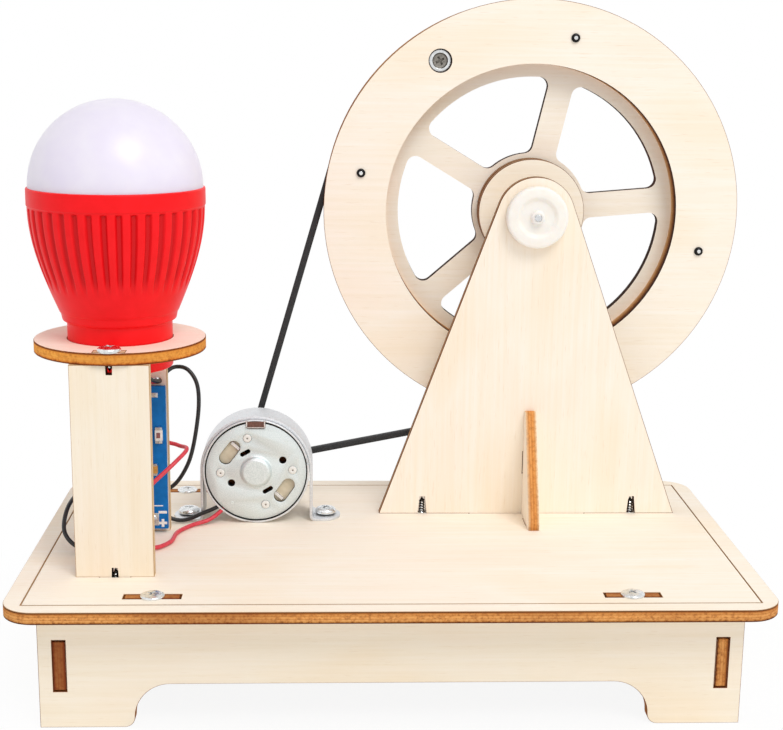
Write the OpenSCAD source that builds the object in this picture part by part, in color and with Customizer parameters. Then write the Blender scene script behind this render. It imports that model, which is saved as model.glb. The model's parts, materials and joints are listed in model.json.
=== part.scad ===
// Hand crank generator: a plywood wheel, turned by a handle, drives a small motor through
// a rubber belt, and the motor lights a lamp on a post.
// Lengths are millimetres. +Z is up, +X runs along the plate towards the wheel, and the
// handle is on the +Y side. The origin is on the ground, under the middle of the model.

/* [Plywood] */
// Thickness of every plywood piece
ply_t = 3; // [2.5:0.1:4]
// Gap between a tab and its slot, on each side
fit_gap = 0.1; // [0.05:0.05:0.3]

/* [Base] */
// Length of the top plate
plate_w = 182.6; // [176:1:220]
// Depth of the top plate
plate_d = 102.4; // [98:1:140]
// Corner radius of the top plate
plate_corner_r = 8; // [2:0.5:14]
// Height of the top of the plate above the ground
base_h = 32.5; // [28:0.5:60]
// Distance of the engraved line from the plate's edge
groove_inset = 4.4; // [3:0.1:6]
// Width of the engraved line
groove_w = 0.4; // [0.2:0.1:1]
// Depth of the engraved line
groove_depth = 0.3; // [0.1:0.1:1]
// Distance from the plate's end to a skirt's end
skirt_end = 7.2; // [5:0.1:10]
// How far each skirt stands back from the plate's edge
skirt_setback = 8.3; // [7:0.1:12]
// Height of the arches between the feet
arch_h = 11; // [8:0.5:14]
// Radius of an arch's upper corners
arch_r = 8.5; // [3:0.5:8.5]
// Radius of each foot's corner beside an arch
foot_r = 2.5; // [0.5:0.5:3]
// Width of a foot of the front or rear skirt
foot_w = 22.5; // [16:0.5:30]
// Width of a foot of a side panel
side_foot_w = 16; // [10:0.5:24]
// Distance from a skirt's end to the outer face of a side panel
side_inset = 3.5; // [2.5:0.1:8]
// Height of the tab that holds a side panel in a skirt
side_tab_h = 12; // [8:0.5:14]
// Height of that tab's lower end above the ground
side_tab_z = 9.7; // [8:0.1:12]
// Distance of the base screws from the plate's end
base_screw_inset = 34.3; // [30:0.1:42]
// Width of a skirt's top tab
base_tab_w = 12.7; // [9:0.1:18]

/* [Screws] */
// Diameter of a wood screw's shank
screw_d = 1.8; // [1.4:0.1:2.2]
// Head diameter of the screws
screw_head_d = 5.8; // [4.6:0.1:6]
// Head height of the screws
screw_head_h = 1.4; // [1:0.1:2]
// Depth of a screw slit in the board below a plate
slit_h = 2.4; // [2:0.1:6]
// Gap between a screw and its hole or slit, on each side
screw_gap = 0.05; // [0.03:0.01:0.1]

/* [Lamp post] */
// Distance of the lamp axis from the plate's left end
lamp_inset = 23.7; // [22.3:0.1:28]
// Position of the lamp axis across the plate
lamp_y = -8.5; // [-9:0.1:-6]
// Width of the two upright boards
post_w = 19; // [16:0.5:24]
// Height of the two upright boards
post_h = 52.9; // [46:0.1:90]
// Distance from the lamp axis forward to the middle of the front board
post_front = 18.6; // [17:0.1:18.8]
// Distance from the lamp axis back to the middle of the rear board
post_back = 16; // [15:0.1:18]
// Width of a board's end tabs
post_tab_w = 7.5; // [5:0.1:10]
// Diameter of the round platform
platform_d = 42.2; // [41:0.1:44]
// Diameter of the lead hole in the rear board
lead_hole_d = 3.2; // [2.9:0.1:4]
// Height of that hole above the plate
lead_hole_z = 41.2; // [41:0.1:41.5]
// Distance of that hole from the lamp axis
lead_hole_x = 6.8; // [6.6:0.1:7]

/* [Converter board] */
// Width of the circuit board
pcb_w = 16.4; // [15:0.1:17]
// Height of the circuit board
pcb_h = 39; // [38:0.5:39.5]
// Thickness of the circuit board
pcb_t = 1.2; // [1:0.1:1.6]
// Thickness of the foam pad behind it
pad_t = 1; // [0.6:0.1:1.2]
// Height of the circuit board above the plate
pcb_lift = 1.2; // [0.6:0.1:1.4]
// Distance of the circuit board's middle from the lamp axis
pcb_off = 1.1; // [0.8:0.1:1.2]

/* [Lamp] */
// Diameter of the neck
neck_d = 25.8; // [24:0.1:26.4]
// How far the neck reaches below the platform
neck_below = 4.3; // [4:0.1:4.5]
// Height of the ledge above the platform
ledge_h = 6.2; // [4:0.1:9]
// Diameter of the ledge
ledge_d = 28.6; // [27.6:0.1:30]
// Diameter of the smooth band at the top of the housing
band_d = 43.2; // [42:0.1:46]
// Height of the smooth band
band_h = 4.4; // [3:0.1:7]
// Height of the housing from its ledge to its rim
housing_h = 31; // [28:0.5:40]
// Number of ribs round the housing
rib_count = 38; // [24:1:44]
// Width of a rib
rib_w = 1.9; // [1.2:0.1:2.2]
// Depth of the flutes between the ribs
rib_depth = 0.8; // [0.4:0.1:1.1]
// Wall of the housing
housing_wall = 1.6; // [1.4:0.1:2]
// Diameter of the dome
dome_d = 42.2; // [41:0.1:42.4]
// Wall of the dome
dome_wall = 1.2; // [0.8:0.1:1.6]

/* [Motor] */
// Distance along the plate from the axle to the motor's axis
motor_reach = 75; // [71:0.1:77]
// Position of the motor's front rim across the plate
motor_y = 12.2; // [11.5:0.1:13]
// Diameter of the motor
motor_d = 28.8; // [27.5:0.1:29.5]
// Length of the motor's can
motor_l = 15; // [14:0.1:17]
// Wall of the can
can_t = 0.8; // [0.5:0.1:1]
// How deep the end cap sits inside the can's rim
cap_recess = 0.4; // [0.2:0.1:0.8]
// Thickness of the end cap
cap_t = 1; // [0.8:0.1:1.2]
// Diameter of the motor shaft
shaft_d = 2; // [1.5:0.1:2.2]
// Running clearance of a shaft in its bearing, measured on the radius
run_gap = 0.05; // [0.02:0.01:0.08]
// Diameter of the boss in the middle of the end cap
boss_d = 8; // [7.6:0.1:8.4]
// Thickness of the bracket's steel strip
strap_t = 0.7; // [0.5:0.1:1]
// Width of the bracket's steel strip
strap_w = 10; // [8:0.5:12]
// Distance from the motor's front rim to the bracket
strap_back = 1.2; // [0.8:0.1:2]
// Distance between the two bracket screws
bracket_pitch = 37.6; // [37.4:0.1:40]
// Distance from a bracket screw to the end of its foot
foot_past_screw = 4; // [3:0.1:5]

/* [Axle support] */
// Distance of the axle from the plate's right end
axle_inset = 51.7; // [49:0.1:54]
// Height of the axle above the plate
axle_h = 83.2; // [80:0.1:100]
// Position of the support's front face across the plate
support_y = 20.2; // [19:0.1:21.5]
// Width of the support at the plate
support_w = 82.8; // [78:0.2:86]
// Radius of the support's rounded top
support_top_r = 10.5; // [9.5:0.1:12]
// Width of the support's bottom tab
support_tab_w = 32.3; // [26:0.1:36]
// Distance between the support's two screws
support_pitch = 58.7; // [52:0.1:64]
// Height of the screw slits in the support
support_slit_h = 5; // [4:0.1:7]
// Length of the brace along the plate
brace_l = 15; // [13:0.1:18]
// Height of the brace
brace_h = 29.6; // [26:0.1:34]
// Length of the brace's tabs
brace_tab = 6; // [4:0.1:7]

/* [Wheel] */
// Diameter of the wheel
wheel_d = 114; // [110:0.5:118]
// Width of the two rings, from bore to rim
ring_w = 17; // [15:0.1:19]
// How far the spoked disc stands inside the rings' bore
disc_lip = 3.5; // [2.5:0.1:6]
// Diameter of the hub of the spoked disc
hub_d = 31.6; // [30:0.2:34]
// Diameter of the two hub discs
hub_disc_d = 29; // [27:0.2:29.6]
// Number of spokes
spoke_count = 5; // [3:1:6]
// Width of a spoke
spoke_w = 6.8; // [5:0.1:9]
// Angle of the first spoke above +X
spoke_angle = 5; // [0:1:20]
// Corner radius of the openings
window_r = 2.5; // [1:0.1:3]
// Length of the spacer between the support and the wheel
spacer_l = 7; // [6:0.1:9]
// Diameter of the spacer
spacer_d = 5; // [4:0.1:7]
// Diameter of the axle
axle_d = 2; // [1.6:0.1:2.4]
// Diameter of the axle caps
cap_d = 16.5; // [14:0.1:18]
// Thickness of the axle caps
cap_l = 3; // [2.4:0.1:4]
// Diameter of the recess in an axle cap
cap_recess_d = 9.8; // [8:0.1:11]
// Diameter of the boss in the middle of an axle cap
cap_boss_d = 3.4; // [3.2:0.1:4]
// Gap at each end of a turning piece
end_gap = 0.3; // [0.2:0.05:0.5]
// Number of small screws that hold the wheel's layers together
rim_screw_count = 4; // [3:1:4]
// Angle of the first of those screws above +X
rim_screw_angle = 77.5; // [74:0.5:80]
// Distance of the rim screws and the crank screw from the wheel's rim
rim_screw_inset = 9; // [8:0.1:10]
// Head diameter of the rim screws
rim_head_d = 2.7; // [2.2:0.1:3.2]
// Shank diameter of the rim screws
rim_shank_d = 1.4; // [1:0.1:1.6]

/* [Crank] */
// Angle of the crank screw above +X
crank_angle = 122.5; // [116:0.5:128]
// Diameter of the crank screw
crank_screw_d = 3; // [2.5:0.1:3.5]
// Head diameter of the crank screw
crank_head_d = 6; // [5.4:0.1:6.2]
// Head height of the crank screw
crank_head_h = 2; // [1.6:0.1:2.4]
// Diameter of the handle
handle_d = 11; // [9:0.1:14]
// Length of the handle
handle_l = 24; // [18:0.5:32]
// Width across the flats of the nuts
nut_w = 5.5; // [5.2:0.1:6]
// Thickness of the nuts
nut_h = 2.4; // [2:0.1:2.8]

/* [Belt] */
// Width and thickness of the square belt
belt_t = 1.8; // [1.5:0.1:2]
// How far the belt's middle line lies inside the wheel's rim
belt_sink = 1; // [1:0.1:3]
// Radius of the belt's middle line on the motor pulley
belt_pulley_r = 3.1; // [3:0.1:4]
// Gap between the belt and the pulleys
belt_gap = 0.3; // [0.2:0.05:0.4]
// Width of the motor pulley
pulley_w = 4.4; // [4:0.1:5]
// Thickness of each flange of the motor pulley
pulley_flange_t = 0.7; // [0.5:0.1:0.8]
// How far the pulley's flanges stand above the belt
pulley_lip = 0.6; // [0.3:0.1:1]

/* [Leads] */
// Diameter of the insulated leads
lead_d = 1.1; // [0.9:0.05:1.2]

/* [Hidden] */
$fn = 72;

// Colours
PLY = [0.97, 0.91, 0.80];
STEEL = [0.78, 0.79, 0.80];
NYLON = [0.96, 0.95, 0.92];
RED = [0.93, 0.08, 0.12];
RUBBER = [0.09, 0.09, 0.10];
COPPER = [0.72, 0.42, 0.20];
BEIGE = [0.85, 0.78, 0.64];

// Gap between a screw's tip and the end of its slit
tip_gap = 0.4;

// Places along the plate
skirt_w = plate_w - 2 * skirt_end;
base_screw_x = plate_w / 2 - base_screw_inset;
lamp_x = lamp_inset - plate_w / 2;
axle_x = plate_w / 2 - axle_inset;
motor_x = axle_x - motor_reach;

// Base
skirt_h = base_h - ply_t;
skirt_y = plate_d / 2 - skirt_setback;
skirt_mid = skirt_y - ply_t / 2;
side_x = skirt_w / 2 - side_inset;

// Lamp post
post_front_y = lamp_y - post_front - ply_t / 2;
post_rear_y = lamp_y + post_back - ply_t / 2;
platform_z = base_h + post_h;
platform_top = platform_z + ply_t;
pcb_front_y = post_rear_y - pad_t - pcb_t;
pcb_z = base_h + pcb_lift;
pcb_x = lamp_x + pcb_off;

// Lamp
neck_z = platform_z - neck_below;
ledge_z = platform_top + ledge_h;
rim_z = ledge_z + housing_h;
band_z = rim_z - band_h;
housing_rings = 12;
flute_ring = 4;
rib_ease = 0.1;
housing_edge = 0.5;
band_lip = 0.2;
led_board_t = 1.2;
led_shelf_z = band_z + 0.4;
dome_lip_h = 1.8;
dome_lip_t = 1;

// Motor
motor_r = motor_d / 2;
can_gap = 0.05;
motor_z = base_h + motor_r + can_gap;
can_bore_r = motor_r - can_t;
cap_y = cap_recess;
boss_l = 1.3;
boss_t = 0.6;
boss_chamfer = 0.5;
holder_y = cap_y + cap_t;
holder_t = 1.5;
rear_boss_l = 1.4;
bush_r = 2.5;
magnet_t = 2.1;
magnet_y0 = holder_y + holder_t + 0.4;
magnet_y1 = motor_l - can_t - 0.3;
air_gap = 0.5;
armature_r = can_bore_r - magnet_t - can_gap - air_gap;
armature_inset = 1.6;
commutator_r = 2.3;

// Wheel: its circles, then each layer's front face
ring_bore_d = wheel_d - 2 * ring_w;
window_d = ring_bore_d - 2 * disc_lip;
crank_circle_d = wheel_d - 2 * rim_screw_inset;
belt_wheel_r = wheel_d / 2 - belt_sink;
support_back = support_y + ply_t;
ring_y = support_back + spacer_l;
core_y = ring_y + ply_t;
disc_y = core_y + ply_t;
wheel_back = disc_y + ply_t;
axle_z = base_h + axle_h;
press_gap = 0.02;
head_gap = 0.2;
rim_hole_r = rim_shank_d / 2 + screw_gap;
crank_hole_r = crank_screw_d / 2 + screw_gap;
cap_boss_h = 0.6;
axle_y0 = support_y - end_gap - cap_l - cap_boss_h;
axle_y1 = wheel_back + cap_l + cap_boss_h;

// Crank
crank_x = axle_x + crank_circle_d / 2 * cos(crank_angle);
crank_z = axle_z + crank_circle_d / 2 * sin(crank_angle);
handle_y = wheel_back + nut_h + end_gap;
handle_end = handle_y + handle_l;
crank_end = handle_end + end_gap + nut_h + 0.6;

// Belt
belt_y = core_y + ply_t / 2;
groove_r = belt_wheel_r - belt_t / 2 - belt_gap;
pulley_hub_r = belt_pulley_r - belt_t / 2 - belt_gap;
pulley_r = belt_pulley_r + belt_t / 2 + pulley_lip;
shaft_end = belt_y + pulley_w / 2 + 0.5;
belt_dx = motor_x - axle_x;
belt_dz = motor_z - axle_z;
belt_span = norm([belt_dx, belt_dz]);
belt_dir = atan2(belt_dz, belt_dx);
belt_wrap = acos((belt_wheel_r - belt_pulley_r) / belt_span);

// The model's middle, which the origin is under
left_end = min(-plate_w / 2, lamp_x - band_d / 2);
right_end = max(plate_w / 2, axle_x + wheel_d / 2);
mid_x = (left_end + right_end) / 2;
mid_y = (max(plate_d / 2, crank_end) - plate_d / 2) / 2;

// Details of the motor's end cap, seen from the front: x to the right, y down
cap_window_pos = [[-7.07, -5.3], [7.6, 5.3]];
cap_window_l = 7.2;
cap_window_w = 3.5;
cap_slot_pos = [[-2.9, -5.2], [3.1, 5.2]];
cap_slot_l = 3;
cap_slot_w = 1.1;
cap_hole_pos = [[7.2, -3.2], [-6.7, 3.2]];
cap_hole_r = 0.95;
pin_pos = [[-2.3, -9.3], [-9.6, 0.4], [9.9, -0.4], [2.5, 9.3]];
pin_r = 1.05;
pin_stand = 0.25;
cap_notch_w = 4.5;
cap_notch_h = 1.7;

// Parts on the front of the converter board: each one's place from the board's lower left
// corner, its width, its height and how far it stands out
converter_boxes = [
    [13.5, 23.7, 2, 4.4, 0.9],
    [4.4, 20.4, 6.4, 6.4, 2.6],
    [5, 30.4, 5, 4, 1.4],
    [2, 14.6, 2.6, 4.6, 1.5],
    [12.4, 15, 1.6, 3.2, 1]
];

// Solder joints on the converter board, from its middle and its lower edge
solder_in_x = [-5.3, 4.1];
solder_in_z = 2.7;
solder_out_x = [-4.1, 1.1];
solder_out_z = 10.8;

// Routes of the leads, measured from the middle of the plate's top
MOTOR_RED_ROUTE = [
    [-44.4, 12.9, 3.8], [-48, 11, 1.4], [-52.6, 8.2, 0.7], [-55.8, 2.4, 0.7],
    [-56.8, -5, 0.7], [-60.6, -10.2, 1], [-65.4, -8.4, 2.4], [-64.8, -2, 3.7],
    [-62.4, 3.2, 3.9]
];
MOTOR_BLACK_ROUTE = [
    [-45.5, 12.9, 4.6], [-49.4, 12.4, 3], [-57, 11.8, 1],
    [-68, 12.8, 6.6], [-76, 12, 10.2], [-80.6, 6, 11.6], [-83, -4, 10],
    [-83, -10, 5], [-78.4, -12, 1.6], [-72.8, -6, 2.6], [-71.8, 3.2, 3.9]
];
LAMP_RED_ROUTE = [
    [-67, -6, 48.8], [-64.8, -1, 43.6], [-61.5, 5, 41.1], [-61.7, 10.6, 40],
    [-63, 12.8, 33], [-61, 12, 24.4], [-56, 9.6, 22.7], [-53.2, 5.4, 22.8],
    [-55.6, 0.2, 20.8], [-60, -3.2, 17.2], [-63.4, -4.6, 14.2], [-65.8, -2, 12.6],
    [-65.4, 3.2, 12]
];
LAMP_BLACK_ROUTE = [
    [-63.6, -6, 48.8], [-62, -1, 43.6], [-60.1, 5, 41.3], [-59.8, 10.4, 41.4],
    [-57, 13.2, 43.2], [-53.2, 12.6, 42.6], [-50.6, 11.4, 38],
    [-50.8, 10.6, 29], [-53.6, 10.4, 17], [-59.6, 11, 10], [-68, 11.4, 14.4],
    [-77.4, 9.4, 18], [-79.2, 2.2, 17], [-76, -4, 14.2], [-71.4, -2.8, 12.4], [-70.6, 3.2, 12]
];

// Helpers

// Points of an arc, from angle a0 to angle a1
function arc(centre, r, a0, a1, steps) =
    [for (i = [0 : steps]) let (a = a0 + (a1 - a0) * i / steps) centre + r * [cos(a), sin(a)]];

// Moves the model so that its middle is over the origin
module placed() {
    translate([-mid_x, -mid_y, 0]) children();
}

// Stands a flat outline up as a board that faces the front: its x stays X, its y becomes Z
module board_facing_front(front_y, t = ply_t) {
    translate([0, front_y + t, 0]) rotate([90, 0, 0]) linear_extrude(t) children();
}

// Stands a flat outline up as a board that faces the side: its x becomes Y, its y becomes Z
module board_facing_side(left_x, t = ply_t) {
    translate([left_x, 0, 0]) rotate([90, 0, 90]) linear_extrude(t) children();
}

module rounded_rect(w, d, r) {
    translate([-w / 2 + r, -d / 2]) square([w - 2 * r, d]);
    translate([-w / 2, -d / 2 + r]) square([w, d - 2 * r]);
    for (x = [-1, 1])
        for (y = [-1, 1])
            translate([x * (w / 2 - r), y * (d / 2 - r)]) circle(r);
}

// The opening between two feet, which stands on y = 0
module arch(w) {
    translate([-w / 2 + arch_r, -1]) square([w - 2 * arch_r, arch_h + 1]);
    translate([-w / 2, -1]) square([w, arch_h - arch_r + 1]);
    for (x = [-1, 1]) {
        translate([x * (w / 2 - arch_r), arch_h - arch_r]) circle(arch_r);
        difference() {
            translate([x * w / 2 - foot_r, -1]) square([2 * foot_r, foot_r + 1]);
            translate([x * (w / 2 + foot_r), foot_r]) circle(foot_r);
        }
    }
}

// Slot in a plate for a tab of width w that runs along x
module tab_slot(w) {
    square([w + 2 * fit_gap, ply_t + 2 * fit_gap], center = true);
}

// Slit for a screw, from y = 0 up
module screw_slit(h) {
    translate([-screw_d / 2 - screw_gap, 0]) square([screw_d + 2 * screw_gap, h]);
}

// Pan head screw: the head stands on z = 0 and the shank points down to a tip
module pan_screw(length, head_d = screw_head_d, head_h = screw_head_h, d = screw_d,
        tip_l = screw_d * 0.7, tip_r = 0) {
    recess_w = head_d * 0.13;
    recess_l = head_d * 0.56;
    recess_h = head_h * 0.55;
    difference() {
        rotate_extrude() polygon([
            [0, head_h], [head_d * 0.28, head_h * 0.94], [head_d * 0.42, head_h * 0.68],
            [head_d / 2, head_h * 0.25], [head_d / 2, 0], [d / 2, 0],
            [d / 2, tip_l - length], [tip_r, -length], [0, -length]
        ]);
        for (a = [0, 90])
            rotate([0, 0, a]) translate([-recess_l / 2, -recess_w / 2, head_h - recess_h])
                cube([recess_l, recess_w, head_h]);
    }
}

// Cylinder along +Y, from y0 to y1, round the axis through x and z
module rod_y(x, z, r, y0, y1) {
    translate([x, y0, z]) rotate([-90, 0, 0]) cylinder(r = r, h = y1 - y0);
}

// A flat shape with round corners that runs along y, from y0 to y1, round the axle.
// The outline's x is X and its y is Z.
module layer(y0) {
    translate([axle_x, y0 + ply_t, axle_z]) rotate([90, 0, 0]) linear_extrude(ply_t) children();
}

// Smooth curve through the points of a route, with steps pieces between two points
function curve_point(a, b, c, d, t) =
    0.5 * (2 * b + (c - a) * t + (2 * a - 5 * b + 4 * c - d) * t * t
        + (3 * b - a - 3 * c + d) * t * t * t);
function smooth_route(p, steps) = [
    for (i = [0 : len(p) - 2], k = [0 : steps - 1])
        curve_point(p[max(i - 1, 0)], p[i], p[i + 1], p[min(i + 2, len(p) - 1)], k / steps),
    p[len(p) - 1]
];
function unit(v) = v / norm(v);
function tangents(p) = [
    for (i = [0 : len(p) - 1]) unit(p[min(i + 1, len(p) - 1)] - p[max(i - 1, 0)])
];
function carried_normals(t, n, i = 0) =
    i == len(t) ? [] : let (m = unit(n - (n * t[i]) * t[i])) concat([m], carried_normals(t, m, i + 1));

// Round tube along a route, as one mesh of triangles
module tube(route, d, steps = 2, sides = 8) {
    p = smooth_route(route, steps);
    t = tangents(p);
    n = carried_normals(t, [0.3, 0.4, 0.87]);
    last = len(p) - 1;
    points = [
        for (i = [0 : last], k = [0 : sides - 1])
            p[i] + d / 2 * (cos(360 * k / sides) * n[i] + sin(360 * k / sides) * cross(t[i], n[i]))
    ];
    walls = [
        for (i = [0 : last - 1], k = [0 : sides - 1], half = [0, 1])
            let (a = i * sides + k, b = i * sides + (k + 1) % sides)
                half == 0 ? [a, a + sides, b] : [b, a + sides, b + sides]
    ];
    ends = [
        for (k = [1 : sides - 2]) [0, k, k + 1],
        for (k = [1 : sides - 2]) [last * sides, last * sides + k + 1, last * sides + k]
    ];
    polyhedron(points, concat(walls, ends));
}

// Base

module base_plate() {
    slot_h = ply_t + 2;
    color(PLY) placed() difference() {
        translate([0, 0, skirt_h]) linear_extrude(ply_t)
            rounded_rect(plate_w, plate_d, plate_corner_r);
        translate([0, 0, skirt_h - 1]) linear_extrude(slot_h) {
            for (x = [-1, 1])
                for (y = [-1, 1])
                    translate([x * base_screw_x, y * skirt_mid]) tab_slot(base_tab_w);
            for (y = [lamp_y - post_front, lamp_y + post_back])
                translate([lamp_x, y]) tab_slot(post_tab_w);
            translate([axle_x, support_y + ply_t / 2]) tab_slot(support_tab_w);
            translate([axle_x, support_y - brace_l / 2]) rotate(90) tab_slot(brace_tab);
            for (x = [-1, 1]) {
                translate([axle_x + x * support_pitch / 2, support_y + ply_t / 2])
                    circle(screw_d / 2 + screw_gap);
                translate([motor_x + x * bracket_pitch / 2, motor_y + strap_back + strap_w / 2])
                    circle(screw_d / 2 + screw_gap);
            }
        }
        translate([0, 0, base_h - groove_depth]) linear_extrude(groove_depth + 1) difference() {
            square([plate_w - 2 * groove_inset, plate_d - 2 * groove_inset], center = true);
            square([plate_w - 2 * (groove_inset + groove_w), plate_d - 2 * (groove_inset + groove_w)],
                center = true);
        }
    }
}

// Outline of the front and rear skirts
module skirt_outline() {
    difference() {
        union() {
            translate([-skirt_w / 2, 0]) square([skirt_w, skirt_h]);
            for (x = [-1, 1])
                translate([x * base_screw_x - base_tab_w / 2, skirt_h - 1])
                    square([base_tab_w, ply_t + 1]);
        }
        arch(skirt_w - 2 * foot_w);
        for (x = [-1, 1]) {
            translate([x * (side_x - ply_t / 2) - ply_t / 2 - fit_gap, side_tab_z - fit_gap])
                square([ply_t + 2 * fit_gap, side_tab_h + 2 * fit_gap]);
            translate([x * base_screw_x, skirt_h - slit_h]) screw_slit(slit_h + ply_t + 1);
        }
    }
}

module front_skirt() {
    color(PLY) placed() board_facing_front(-skirt_y) skirt_outline();
}

module rear_skirt() {
    color(PLY) placed() board_facing_front(skirt_y - ply_t) skirt_outline();
}

// Outline of a side panel, with a tab at each end
module side_outline() {
    inner = skirt_y - ply_t;
    difference() {
        union() {
            translate([-inner, 0]) square([2 * inner, skirt_h]);
            translate([-skirt_y, side_tab_z]) square([2 * skirt_y, side_tab_h]);
        }
        arch(2 * (inner - side_foot_w));
    }
}

module left_side_panel() {
    color(PLY) placed() board_facing_side(-side_x) side_outline();
}

module right_side_panel() {
    color(PLY) placed() board_facing_side(side_x - ply_t) side_outline();
}

module base_screws() {
    color(STEEL) placed()
        for (x = [-1, 1])
            for (y = [-1, 1])
                translate([x * base_screw_x, y * skirt_mid, base_h]) rotate([0, 0, 20 + 35 * x * y])
                    pan_screw(ply_t + slit_h - tip_gap);
}

// Lamp post

// Outline of an upright board, with a slit tab at each end
module post_outline() {
    difference() {
        union() {
            translate([-post_w / 2, 0]) square([post_w, post_h]);
            translate([-post_tab_w / 2, -ply_t]) square([post_tab_w, post_h + 2 * ply_t]);
        }
        translate([0, -ply_t - 1]) screw_slit(ply_t + 1 + slit_h);
        translate([0, post_h - slit_h]) screw_slit(ply_t + 1 + slit_h);
    }
}

module post_front_board() {
    color(PLY) placed() board_facing_front(post_front_y) translate([lamp_x, base_h]) post_outline();
}

module post_rear_board() {
    color(PLY) placed() board_facing_front(post_rear_y) translate([lamp_x, base_h]) difference() {
        post_outline();
        translate([lead_hole_x, lead_hole_z]) circle(lead_hole_d / 2);
    }
}

module lamp_platform() {
    color(PLY) placed() translate([lamp_x, lamp_y, platform_z]) linear_extrude(ply_t) difference() {
        circle(platform_d / 2);
        circle(neck_d / 2 + fit_gap);
        translate([0, -post_front]) tab_slot(post_tab_w);
        translate([0, post_back]) tab_slot(post_tab_w);
    }
}

module post_screws() {
    color(STEEL) placed()
        for (y = [lamp_y - post_front, lamp_y + post_back])
            translate([lamp_x, y, skirt_h]) rotate([180, 0, 0]) pan_screw(ply_t + slit_h - tip_gap);
}

module platform_screws() {
    color(STEEL) placed()
        for (y = [lamp_y - post_front, lamp_y + post_back])
            translate([lamp_x, y, platform_top]) rotate([0, 0, 30]) pan_screw(ply_t + slit_h - tip_gap);
}

// Converter board

module converter_board() {
    color([0.05, 0.42, 0.70]) placed()
        translate([pcb_x - pcb_w / 2, pcb_front_y, pcb_z]) cube([pcb_w, pcb_t, pcb_h]);
}

module board_pad() {
    margin = 1.5;
    color([0.93, 0.93, 0.90]) placed()
        translate([pcb_x - pcb_w / 2 + margin, pcb_front_y + pcb_t, pcb_z + margin])
            cube([pcb_w - 2 * margin, pad_t, pcb_h - 2 * margin]);
}

module converter_parts() {
    color(STEEL) placed() {
        for (c = converter_boxes)
            translate([pcb_x - pcb_w / 2 + c[0], pcb_front_y - c[4], pcb_z + c[1]])
                cube([c[2], c[4], c[3]]);
        for (x = solder_in_x)
            translate([pcb_x + x, pcb_front_y, pcb_z + solder_in_z]) solder_joint();
        for (x = solder_out_x)
            translate([pcb_x + x, pcb_front_y, pcb_z + solder_out_z]) solder_joint();
    }
}

// A blob of solder on the front of the board
module solder_joint() {
    rotate([90, 0, 0]) rotate_extrude() polygon([[0, 0], [1.3, 0], [1.1, 0.5], [0.7, 0.9], [0, 1]]);
}

// Lamp

// Outer radius of the housing below the band, at a share s of the way up from the ledge
function housing_r(s) = ledge_d / 2 + (band_d / 2 - band_lip - ledge_d / 2) * sin(90 * s);
function housing_ring(i, inset) =
    [housing_r(i / housing_rings) - inset, ledge_z + (band_z - ledge_z) * i / housing_rings];
function reversed(p) = [for (i = [len(p) - 1 : -1 : 0]) p[i]];

module bulb_housing() {
    edge = housing_edge;
    seat_r = dome_d / 2 - dome_wall - fit_gap;
    cavity = [
        for (i = [0 : housing_rings - 1])
            housing_ring(i, rib_depth + housing_wall)
    ];
    color(RED) placed() translate([lamp_x, lamp_y, 0]) {
        rotate_extrude() polygon(concat(
            [[0, neck_z], [neck_d / 2 - edge, neck_z], [neck_d / 2, neck_z + edge]],
            [[neck_d / 2, ledge_z - 2 * edge], [ledge_d / 2 - edge, ledge_z - edge]],
            [for (i = [0 : housing_rings]) housing_ring(i, i > flute_ring ? rib_depth : 0)],
            [[band_d / 2 - edge, band_z], [band_d / 2, band_z + edge], [band_d / 2, rim_z]],
            [[seat_r, rim_z], [seat_r, led_shelf_z], [cavity[len(cavity) - 1][0], led_shelf_z]],
            reversed(cavity),
            [[neck_d / 2 - housing_wall, ledge_z], [neck_d / 2 - housing_wall, neck_z + housing_wall]],
            [[0, neck_z + housing_wall]]
        ));
        for (i = [0 : rib_count - 1])
            rotate([0, 0, 360 * (i + 0.5) / rib_count]) rotate([90, 0, 0])
                translate([0, 0, -rib_w / 2]) linear_extrude(rib_w) rib_outline();
    }
}

// Outline of one rib: outside it lies just within the housing's full outline, inside it
// ends within the wall, and its two ends are buried
module rib_outline() {
    outer = [for (i = [flute_ring - 1 : housing_rings]) housing_ring(i, rib_ease)];
    inner = [for (i = [flute_ring - 1 : housing_rings]) housing_ring(i, rib_depth + housing_wall / 2)];
    top = [0, housing_edge];
    polygon(concat(outer, [outer[len(outer) - 1] + top, inner[len(inner) - 1] + top], reversed(inner)));
}

module bulb_dome() {
    r = dome_d / 2;
    lip_r = dome_d / 2 - dome_wall - 2 * fit_gap;
    steps = 16;
    outer = [for (i = [0 : steps]) [r * cos(90 * i / steps), rim_z + r * sin(90 * i / steps)]];
    inner = [
        for (i = [steps : -1 : 0])
            [
                (lip_r - dome_lip_t) * cos(90 * i / steps),
                rim_z + (r - dome_wall) * sin(90 * i / steps)
            ]
    ];
    color([0.93, 0.92, 0.98]) placed() translate([lamp_x, lamp_y, 0])
        rotate_extrude() polygon(concat(
            outer, inner,
            [[lip_r - dome_lip_t, rim_z - dome_lip_h], [lip_r, rim_z - dome_lip_h], [lip_r, rim_z]]
        ));
}

module bulb_led_board() {
    board_r = dome_d / 2 - dome_wall - 0.5;
    color([0.95, 0.95, 0.93]) placed() translate([lamp_x, lamp_y, led_shelf_z]) {
        cylinder(r = board_r, h = led_board_t);
        for (i = [0 : 5])
            rotate([0, 0, 60 * i]) translate([board_r * 0.55, 0, led_board_t + 0.35])
                cube([2.8, 3.5, 0.8], center = true);
    }
}

// Motor. Its pieces are drawn in the motor's own frame, seen from the front: x is to the
// right, y is down and z runs back along the shaft from the can's front rim.

module in_motor() {
    placed() translate([motor_x, motor_y, motor_z]) rotate([-90, 0, 0]) children();
}

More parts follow.
